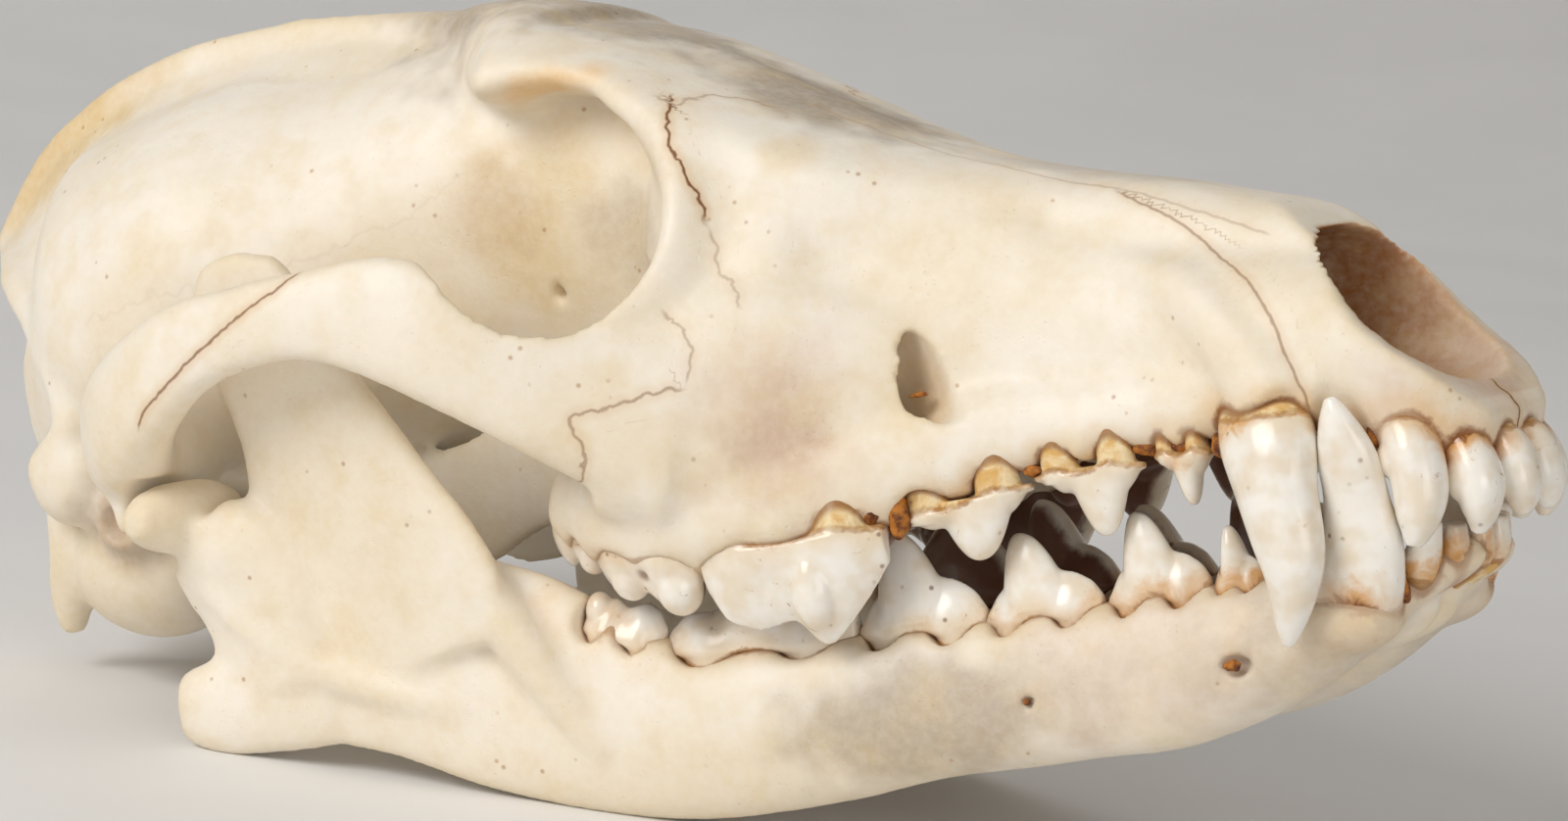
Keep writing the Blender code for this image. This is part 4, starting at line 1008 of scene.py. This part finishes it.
IVORY = linear(243, 234, 219)
YELLOW = linear(226, 203, 158)
# A grey tint that also serves as painted shade where the bone faces away from the light.
GREY_TINT_AND_SHADE = linear(146, 126, 100)
BROWN = linear(150, 112, 78)
DEEP_SHADE_BROWN = linear(92, 60, 38)
ROSE = linear(214, 186, 160)
NOSE_BROWN = linear(176, 118, 66)
# Dark brown for the inside of the mouth: painted shade together with dried gum.
MOUTH_SHADE_AND_GUM_BROWN = linear(92, 30, 4)

# How stained the sockets' edges are along the skull, from the rear molars to the incisors.
DIRT_PLACES = (96, 104, 116, 134, 139, 156, 166, 176, 186, 200)
UPPER_DIRT = (0.3, 0.35, 0.15, 0.2, 0.75, 0.6, 0.7, 0.85, 0.9, 0.9)
JAW_DIRT = (0.4, 0.45, 0.4, 0.45, 0.3, 0.25, 0.25, 0.3, 0.35, 0.45)
TOOTH_DIRT = (0.3, 0.3, 0.15, 0.15, 0.4, 0.4, 0.7, 1, 1, 1)

# Stains and painted shade: colour, strength, then middle and half sizes of the soft patch that it fills.
CRANIUM_STAINS = (
    # The tops of the brow and nose: grey tint with painted shade, where they face away from the light.
    (GREY_TINT_AND_SHADE, 0.8, (104, 0, 60), (34, 15, 10)),
    (GREY_TINT_AND_SHADE, 0.85, (128, 2, 46), (26, 9, 9)),
    (GREY_TINT_AND_SHADE, 0.35, (160, 0, 32), (24, 7, 6)),
    (linear(232, 184, 112), 0.7, (102, 19.5, 50.5), (8, 4, 2.2)),
    (YELLOW, 0.5, (97, 14, 44), (5, 4, 6)),
    (YELLOW, 0.6, (92, 14, 33), (5, 4, 5)),
    (YELLOW, 0.5, (130, 18, 38), (3, 4, 2.4)),
    (YELLOW, 0.5, (140, 19, 11), (5, 4, 8)),
    (linear(222, 192, 138), 0.9, (8, 0, 60), (26, 8, 14)),
    (YELLOW, 0.4, (60, 0, 68), (34, 5, 5)),
    (YELLOW, 0.45, (128, 28, 8), (12, 8, 7)),
    (linear(186, 150, 122), 0.6, (128.5, 26, 9), (5, 8, 6)),
    (ROSE, 0.5, (128, 26, 14), (9, 8, 6)),
    (ROSE, 0.5, (128.5, 26, 4), (9, 8, 5)),
    (YELLOW, 0.5, (98, 14, 34), (12, 7, 12)),
    (YELLOW, 0.3, (80, 20, 28), (20, 14, 14)),
    # Grey tint with painted shade deep in the orbit.
    (GREY_TINT_AND_SHADE, 0.35, (106, 16, 34), (6, 6, 7)),
    (linear(200, 160, 108), 0.8, (139.5, 17, 10.5), (5, 2.6, 7)),
    (linear(206, 178, 140), 0.6, (88, 14, 38), (6, 5, 5)),
    (YELLOW, 0.35, (112, 37, 12), (9, 8, 8)),
    (YELLOW, 0.3, (56, 48, 18), (10, 8, 10)),
    # The palate: painted shade inside the mouth together with dried gum.
    (MOUTH_SHADE_AND_GUM_BROWN, 1, (142, 0, 0), (36, 13.4, 5)),
    (ROSE, 0.6, (197, 0, 3), (6, 7, 5)),
    (YELLOW, 0.4, (30, 20, 6), (14, 12, 12)),
    (BROWN, 0.5, (36, 26, 11), (7, 7, 6)),
    (BROWN, 0.6, (12, 0, 20), (12, 8, 8)),
    (ROSE, 0.5, (192, 12, 2), (6, 5, 5)),
)
JAW_STAINS = (
    # The inner side of the jaw: painted shade inside the mouth together with dried gum.
    (MOUTH_SHADE_AND_GUM_BROWN, 1, (146, 7, -15), (36, 6, 9)),
    (YELLOW, 0.3, (75, 36, 4), (14, 9, 24)),
    (YELLOW, 0.35, (110, 24, -28), (40, 14, 7)),
    # The jaw body, which faces down: grey tint with painted shade.
    (GREY_TINT_AND_SHADE, 0.6, (138, 20, -23), (18, 8, 7)),
    (ROSE, 0.45, (162, 14, -20), (22, 10, 8)),
    # Grey tint with painted shade under the front of the jaw.
    (GREY_TINT_AND_SHADE, 0.35, (178, 10, -22), (16, 9, 7)),
    (YELLOW, 0.3, (56, 38, 10), (6, 10, 6)),
)
# The height of the line along the middle of the nose's hollow, and the hollow's reach from it.
NOSE_LINE = 13
NOSE_REACH = 15


def nose_inside(points, normals):
    """How surely each point is on the wall of the nose's hollow: one that faces its middle line."""
    toward = np.stack([points[:, 0] * 0, -points[:, 1], NOSE_LINE - points[:, 2]], axis=1)
    reach = np.linalg.norm(toward, axis=1)
    facing = (toward * normals).sum(axis=1) / np.maximum(reach, 0.1)
    share = np.clip(facing * 2.5, 0, 1) * np.clip((NOSE_REACH - reach) / 3, 0, 1)
    return share * np.clip((points[:, 0] - 140) / 8, 0, 1) * (points[:, 2] > 1)


def tinted(mesh, stains, seed, nose=False):
    """The colour of the dry bone at each point, with its painted shade, without its finest grain."""
    points = points_of(mesh)
    hollow = hollowness(mesh, rounds=24)
    broad = noise_at(points, size=17, seed=seed, detail=3)
    fine = noise_at(points, size=4, seed=seed + 2, detail=2)
    colours = np.tile(IVORY, (len(points), 1))

    def mix(colour, share):
        share = np.clip(share, 0, 1)[:, None]
        colours[:] = colours * (1 - share) + np.array(colour) * share

    # Blotches all over, yellow on the ridges, and brown painted shade in the dips.
    mix(YELLOW, 0.1 + 0.34 * broad)
    mix(YELLOW, np.clip(-hollow - 0.12, 0, 1) * 1.4)
    mix(BROWN, np.clip(hollow - 0.15, 0, 1) * 0.9)
    for colour, strength, middle, halves in stains:
        reach = np.linalg.norm((left_points(points) - middle) / halves, axis=1)
        share = np.clip(1.35 - reach - 0.35 * broad - 0.25 * fine, 0, 1)
        mix(colour, strength * share * share * (3 - 2 * share))
    # The walls of the nose's hollow turn brown further in, and deeper still they darken with painted shade
    # in dark brown.
    if nose:
        nearness = nose_inside(points, normals_of(mesh))
        mix(NOSE_BROWN, nearness * np.interp(points[:, 0], (182, 199), (1, 0.3)))
        mix(DEEP_SHADE_BROWN, nearness * np.interp(points[:, 0], (168, 184), (0.8, 0)))
    layer = mesh.attributes.new("tint", "FLOAT_COLOR", "POINT")
    layer.data.foreach_set("color", np.insert(colours, 3, 1, axis=1).astype(np.float32).ravel())


def store_dirt(mesh, shares):
    """How much dried gum has stained this mesh near the sockets, from the molars to the incisors."""
    points = points_of(mesh)
    share = np.interp(points[:, 0], DIRT_PLACES, shares)
    store(mesh, "dirt", np.clip(share * (0.8 + 0.9 * noise_at(points, size=5, seed=31)), 0, 1))


# Materials


class Nodes:
    """Short names for the nodes of one material."""

    def __init__(self, name):
        self.material = bpy.data.materials.new(name)
        self.material.use_nodes = True
        self.tree = self.material.node_tree

    def node(self, kind, inputs, **settings):
        made = self.tree.nodes.new(kind)
        for key, value in settings.items():
            setattr(made, key, value)
        self.fill(made, inputs)
        return made

    def fill(self, node, inputs):
        """Links or sets the inputs of a node, by their names or places."""
        for key, value in inputs.items():
            if isinstance(value, bpy.types.NodeSocket):
                self.tree.links.new(value, node.inputs[key])
            else:
                node.inputs[key].default_value = value

    def attribute(self, name, output="Fac"):
        return self.node("ShaderNodeAttribute", {}, attribute_name=name).outputs[output]

    def math(self, operation, a, b=0.0):
        return self.node("ShaderNodeMath", {0: a, 1: b}, operation=operation).outputs[0]

    def times(self, a, b):
        return self.math("MULTIPLY", a, b)

    def plus(self, a, b):
        return self.math("ADD", a, b)

    def uneven(self, noise, strength):
        """Noise about its middle value, as a shift up or down."""
        return self.times(self.math("SUBTRACT", noise, 0.5), strength)

    def span(self, value, low, high, start=0.0, end=1.0):
        """Value from low to high turned smoothly into start to end."""
        inputs = dict(enumerate((value, low, high, start, end)))
        return self.node("ShaderNodeMapRange", inputs, interpolation_type="SMOOTHSTEP").outputs[0]

    def texture(self, kind, output, **inputs):
        """A texture on the skull's own coordinates, with its scale as cells per metre."""
        place = self.node("ShaderNodeTexCoord", {}).outputs["Object"]
        return self.node(kind, {"Vector": place, **inputs}).outputs[output]

    def noise(self, scale, detail=2.0, roughness=0.5, distortion=0.0):
        return self.texture(
            "ShaderNodeTexNoise", "Fac", Scale=scale, Detail=detail, Roughness=roughness,
            Distortion=distortion,
        )

    def cells(self, scale):
        return self.texture("ShaderNodeTexVoronoi", "Distance", Scale=scale)

    def specks(self, scale, high, low, patch, start, end):
        """Small dots, in patches only: the cells' scale and limits, then the patches'."""
        return self.times(self.span(self.cells(scale), high, low), self.span(self.noise(patch), start, end))

    def layers(self, colour, *rows):
        """The colour with others laid over it, each with its share."""
        for share, over in rows:
            first, second = ((*c, 1) if isinstance(c, tuple) else c for c in (colour, over))
            inputs = {"Factor": share, 6: first, 7: second}
            colour = self.node("ShaderNodeMix", inputs, data_type="RGBA").outputs[2]
        return colour

    def finish(self, colour, roughness, heights, strength, distance, **others):
        """Gives the shader its colour, roughness, bumps and other inputs."""
        bump = self.node("ShaderNodeBump", {"Height": heights, "Strength": strength, "Distance": distance})
        inputs = {"Base Color": colour, "Roughness": roughness, "Normal": bump.outputs["Normal"]}
        inputs.update((key.replace("_", " "), value) for key, value in others.items())
        self.fill(self.tree.nodes["Principled BSDF"], inputs)
        return self.material


def bone_material():
    n = Nodes("bone")
    grain = n.noise(900, 4, 0.6)
    mottle = n.noise(160, 3, 0.6)
    colour = n.layers(
        n.attribute("tint", "Color"),
        (n.span(mottle, 0.42, 0.72, 0, 0.35), YELLOW),
        (n.span(grain, 0.3, 0.75, 0.0, 0.16), linear(255, 250, 240)),
        (n.times(n.specks(420, 0.16, 0.05, 120, 0.56, 0.62), 0.6), linear(168, 116, 62)),
    )
    # Stains of dried gum: a halo, a darker edge in patches and a thin rim round each tooth.
    gum = n.attribute("gum")
    dirt = n.attribute("dirt")
    uneven = n.uneven(n.noise(420, 4, 0.6), 2.2)
    ragged = n.plus(gum, uneven)
    rim = n.times(n.span(gum, 0.45, 0.15, 0, 0.55), n.span(uneven, -0.3, 0.3, 0.4, 1))
    colour = n.layers(
        colour,
        (n.times(n.span(ragged, 3.0, 0.6, 0, 0.5), dirt), linear(220, 170, 92)),
        (n.times(n.span(ragged, 0.9, 0.1, 0, 0.95), dirt), linear(132, 72, 22)),
        (rim, linear(160, 106, 48)),
    )
    # Sutures: a soft stain and a dark line.
    seam = n.math("ABSOLUTE", n.attribute("seam"))
    strength = n.attribute("seam_strength")
    line = n.times(n.span(n.plus(seam, n.times(n.noise(1500, 2), 0.14)), 0.32, 0.1), strength)
    soft = n.times(n.span(seam, 1.2, 0.1), strength)
    colour = n.layers(
        colour, (n.times(soft, 0.4), linear(212, 168, 112)), (n.times(line, 0.95), linear(122, 74, 34))
    )
    pores = n.specks(1300, 0.25, 0.0, 220, 0.45, 0.65)
    heights = n.plus(n.plus(n.times(grain, 0.5), n.times(pores, -0.5)), n.times(mottle, 0.8))
    heights = n.plus(heights, n.times(line, -0.5))
    return n.finish(
        colour, n.span(mottle, 0.3, 0.7, 0.42, 0.6), heights, 0.55, 0.00022, Subsurface_Weight=0.12,
        Subsurface_Radius=(1.0, 0.6, 0.35), Subsurface_Scale=0.0015, Specular_IOR_Level=0.4,
    )


def enamel_material():
    n = Nodes("enamel")
    neck = n.attribute("neck")
    past = n.attribute("enamel")
    dirt = n.attribute("dirt")
    grain = n.noise(1400, 3)
    streaks = n.noise(420, 4, 0.6, 0.6)
    root = n.layers(
        linear(240, 220, 176),
        (n.span(streaks, 0.35, 0.65), linear(218, 172, 98)),
        (n.span(neck, 0.7, 0.15, 0, 0.8), linear(140, 88, 42)),
    )
    marks = n.times(n.span(n.noise(520, 4, 0.7, 1.2), 0.62, 0.72), n.span(n.noise(110), 0.5, 0.58))
    amber = n.plus(neck, n.uneven(streaks, 5.0))
    crown = n.layers(
        linear(246, 241, 232),
        (n.span(n.noise(300, 2), 0.35, 0.7), linear(234, 221, 200)),
        (n.span(past, 3.6, 0.2, 0, 0.5), linear(232, 212, 176)),
        (n.times(marks, 0.75), linear(166, 112, 50)),
        (n.times(n.span(amber, 2.6, 0.3, 0, 0.85), dirt), linear(212, 148, 58)),
        (n.times(n.span(amber, 0.5, -0.4, 0, 0.9), dirt), linear(122, 64, 16)),
        # Brown painted shade in the crowns' hollows.
        (n.span(n.attribute("hollow"), 0.08, 0.4, 0, 0.5), linear(190, 150, 104)),
    )
    # The enamel's edge with its brown rim, specks, dents, and painted shade with dried gum on the side
    # towards the tongue.
    ragged = n.plus(past, n.uneven(grain, 0.7))
    rim = n.times(n.span(ragged, 0.55, 0.15), n.span(ragged, -0.5, -0.1))
    dent = n.times(n.attribute("dent"), n.span(streaks, 0.2, 0.6, 0.4, 1))
    inner = n.plus(n.attribute("inner"), n.uneven(streaks, 1.0))
    colour = n.layers(
        root,
        (n.span(ragged, -0.1, 0.15), crown),
        (n.times(rim, n.span(streaks, 0.3, 0.6, 0.25, 0.8)), linear(160, 108, 48)),
        (n.times(n.specks(520, 0.2, 0.06, 150, 0.52, 0.6), 0.75), linear(120, 84, 50)),
        (n.span(dent, 0.25, 0.9, 0, 0.8), linear(124, 84, 50)),
        # Painted shade together with dried gum on the side towards the tongue.
        (n.span(inner, 0.5, 1.4, 0, 0.92), linear(98, 44, 8)),
    )
    heights = n.plus(n.times(grain, 0.4), n.noise(260, 2))
    return n.finish(
        colour, n.span(past, -0.2, 0.4, 0.55, 0.22), heights, 0.3, 0.00015, Subsurface_Weight=0.15,
        Subsurface_Radius=(1.0, 0.8, 0.6), Subsurface_Scale=0.001, Coat_Weight=0.3, Coat_Roughness=0.14,
    )


def tissue_material():
    n = Nodes("dried_tissue")
    blotch = n.noise(700, 4, 0.6)
    colour = n.layers(linear(92, 42, 12), (n.span(blotch, 0.35, 0.65), linear(196, 124, 48)))
    return n.finish(colour, n.span(blotch, 0.3, 0.7, 0.45, 0.8), n.noise(1600, 4, 0.7), 0.8, 0.0004)


def floor_material():
    n = Nodes("floor")
    tone = n.layers((0.84, 0.835, 0.83), (n.span(n.noise(14, 3), 0.3, 0.7), (0.87, 0.865, 0.86)))
    return n.finish(tone, 0.85, n.noise(900, 2), 0.05, 0.0002)


# Dried gum remains

# Lumps on each side: middle and half sizes, at the necks of the teeth that carry them.
UPPER_TISSUE = (
    ((138.6, 21.6, -1), (1.8, 1.7, 3)), ((141.4, 18, 10.6), (1.5, 0.5, 0.5)),
    ((136, 23.4, -0.6), (1.6, 1, 1.6)), ((152.4, 16.4, 1), (1.4, 1.2, 1)),
    ((164.8, 14, 1.4), (1.8, 1.1, 1.1)), ((169, 13.8, 1.3), (3.2, 1.1, 1.2)),
    ((173.6, 14.6, 0.4), (1.6, 1.3, 1.6)), ((117.4, 28.4, -2), (1.6, 1, 1.3)),
    ((104, 27, 1), (1, 0.9, 1)), ((186, 12.6, 0.8), (1.6, 1.2, 1)),
    ((189.4, 12.4, -0.6), (0.9, 1, 2)), ((194.6, 9.6, -3), (0.8, 0.9, 2.2)),
    ((198, 5, -4), (0.8, 0.8, 2)),
)
LOWER_TISSUE = (
    ((189, 11, -16), (1.1, 1.4, 2)), ((191.4, 7, -15.4), (1, 1, 1.4)),
    ((194, 3.6, -14), (0.8, 0.8, 1.2)), ((128.4, 17.2, -14), (1, 1.1, 0.9)),
    ((142.8, 14.8, -14.4), (0.8, 1, 0.7)), ((156.4, 12.8, -14.4), (0.8, 1, 0.7)),
    ((171.4, 16.1, -21.6), (1.2, 0.9, 0.8)), ((148.4, 18.4, -22.7), (0.6, 0.8, 0.5)),
)
# The crumbs in a lump and how fine its skin is.
CRUMBS = 7
CRUMB_VOXEL = 0.2


def tissue(lumps, side, seed):
    """Crumbly lumps, each a cluster of small balls melted together."""
    made = []
    draw = np.random.default_rng(seed)
    for middle, halves in lumps:
        balls = [ellipsoid(middle, [0.7 * h for h in halves], side, 12)]
        for _ in range(CRUMBS):
            off = draw.normal(size=3)
            off /= np.linalg.norm(off)
            place = np.array(middle) + off * np.array(halves) * 0.6
            balls.append(ellipsoid(place, np.array(halves) * draw.uniform(0.25, 0.5), side, 12))
        made.append(skin(balls, CRUMB_VOXEL, smoothing=1))
    return made


# Putting it together


def piece(name, mesh, material, slot, *nodes):
    mesh.transform(POSE)
    obj = object_of(name, mesh)
    mesh.materials.clear()
    mesh.materials.append(material)
    mesh.shade_smooth()
    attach(obj, "root")
    if nodes:
        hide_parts(*nodes)


cranium = cranium_bone()
jaws = {side: jaw_bone(side) for side in (1, -1)}
upper = [t for side in (1, -1) for t in tooth_set(UPPER_CONES, UPPER_BLADES, side, -1)]
lower = {side: tooth_set(LOWER_CONES, LOWER_BLADES, side, 1) for side in (1, -1)}
for teeth in lower.values():
    tuck_roots(teeth)

roughen(cranium, 1)
store_dirt(cranium, UPPER_DIRT)
store_seams(cranium)
tinted(cranium, CRANIUM_STAINS, 3, nose=True)
store(cranium, "gum", distance_to(points_of(cranium), crowns_of(upper), reach=4))
for side, jaw in jaws.items():
    roughen(jaw, 5 + side)
    stand_on_floor(jaw)
    store_dirt(jaw, JAW_DIRT)
    tinted(jaw, JAW_STAINS, 7)
    store(jaw, "seam", np.full(len(jaw.vertices), SEAM_REACH))
    store(jaw, "seam_strength", np.zeros(len(jaw.vertices)))
    store(jaw, "gum", distance_to(points_of(jaw), crowns_of(lower[side]), reach=4))

bone = bone_material()
enamel = enamel_material()
dried = tissue_material()
piece("upper_teeth", tooth_row(upper, cranium), enamel, "tooth_enamel")
piece("cranium_bone", cranium, bone, "bone", "cranium")
for side, word in ((1, "left"), (-1, "right")):
    row = tooth_row(lower[side], jaws[side])
    piece(f"mandible_{word}_bone", jaws[side], bone, "bone", f"mandible_{word}")
    piece(f"lower_teeth_{word}", row, enamel, "tooth_enamel")
    lumps = tissue(UPPER_TISSUE, side, 11 + side) + tissue(LOWER_TISSUE, side, 21 + side)
    piece(f"gum_remains_{word}", joined(lumps), dried, "dried_tissue")


# Camera, floor and light

# The photograph's viewpoint, fitted in the skull's own frame.
IMAGE_WIDTH = 1600
SENSOR = 36.0
CAMERA_AZIMUTH = math.radians(33.4446)
CAMERA_ELEVATION = math.radians(0.0906)
CAMERA_ROLL = math.radians(-9.393)
CAMERA_TARGET = (112.39, 0, 11.223)
CAMERA_DISTANCE = 481.1
PIXELS_PER_MM = 9.13
# Half the floor's width and the radius of its flat part, in metres, how steeply it rises past it, and
# its cells along a side.
FLOOR_HALF = 2.4
FLOOR_FLAT = 0.6
FLOOR_SWEEP = 0.5
FLOOR_CELLS = 96


def camera():
    """The camera at the photograph's viewpoint."""
    a, e, r = CAMERA_AZIMUTH, CAMERA_ELEVATION, CAMERA_ROLL
    back = Vector((math.sin(a) * math.cos(e), -math.cos(a) * math.cos(e), math.sin(e)))
    right = Vector((math.cos(a), math.sin(a), 0))
    up = back.cross(right)
    across = right * math.cos(r) + up * math.sin(r)
    upward = up * math.cos(r) - right * math.sin(r)
    place = Matrix((across, upward, back)).transposed().to_4x4()
    place.translation = (Vector(CAMERA_TARGET) + back * CAMERA_DISTANCE) * MM
    data = bpy.data.cameras.new("camera")
    data.sensor_width = SENSOR
    data.lens = PIXELS_PER_MM * CAMERA_DISTANCE / IMAGE_WIDTH * SENSOR
    data.clip_start = 0.01
    made = object_of("camera", data)
    made.matrix_world = POSE @ place
    bpy.context.scene.camera = made


def area_light(name, place, aim, size, power, colour):
    data = bpy.data.lights.new(name, "AREA")
    data.shape = "DISK"
    data.size = size
    data.energy = power
    data.color = colour
    made = object_of(name, data)
    made.location = place
    made.rotation_euler = (Vector(aim) - Vector(place)).to_track_quat("-Z", "Y").to_euler()


def floor():
    """A pale sheet that lies flat round the skull and sweeps up far behind it."""
    bm = bmesh.new()
    bmesh.ops.create_grid(bm, x_segments=FLOOR_CELLS, y_segments=FLOOR_CELLS, size=FLOOR_HALF)
    for vertex in bm.verts:
        out = math.hypot(vertex.co.x, vertex.co.y)
        vertex.co.z = FLOOR_SWEEP * max(0.0, out - FLOOR_FLAT) ** 2
    mesh = mesh_from(bm)
    mesh.materials.append(floor_material())
    mesh.shade_smooth()
    made = object_of("floor", mesh)


camera()
floor()
# Each light's place and aim in metres, width, power in watts and colour.
area_light("key", (-0.25, -0.75, 0.62), (0, 0, 0.04), 0.6, 5.7, (1, 0.985, 0.965))
area_light("fill", (0.85, -0.55, 0.2), (0.02, 0, 0.04), 0.6, 2.4, (1, 0.99, 0.97))
area_light("rim", (-0.5, 0.6, 0.6), (0, 0, 0.05), 0.5, 0.8, (0.96, 0.98, 1))
world = bpy.data.worlds.new("studio")
world.use_nodes = True
background = world.node_tree.nodes["Background"]
background.inputs["Color"].default_value = (1, 0.955, 0.9, 1)
background.inputs["Strength"].default_value = 0.31
bpy.context.scene.world = world
bpy.context.scene.view_settings.view_transform = "Standard"
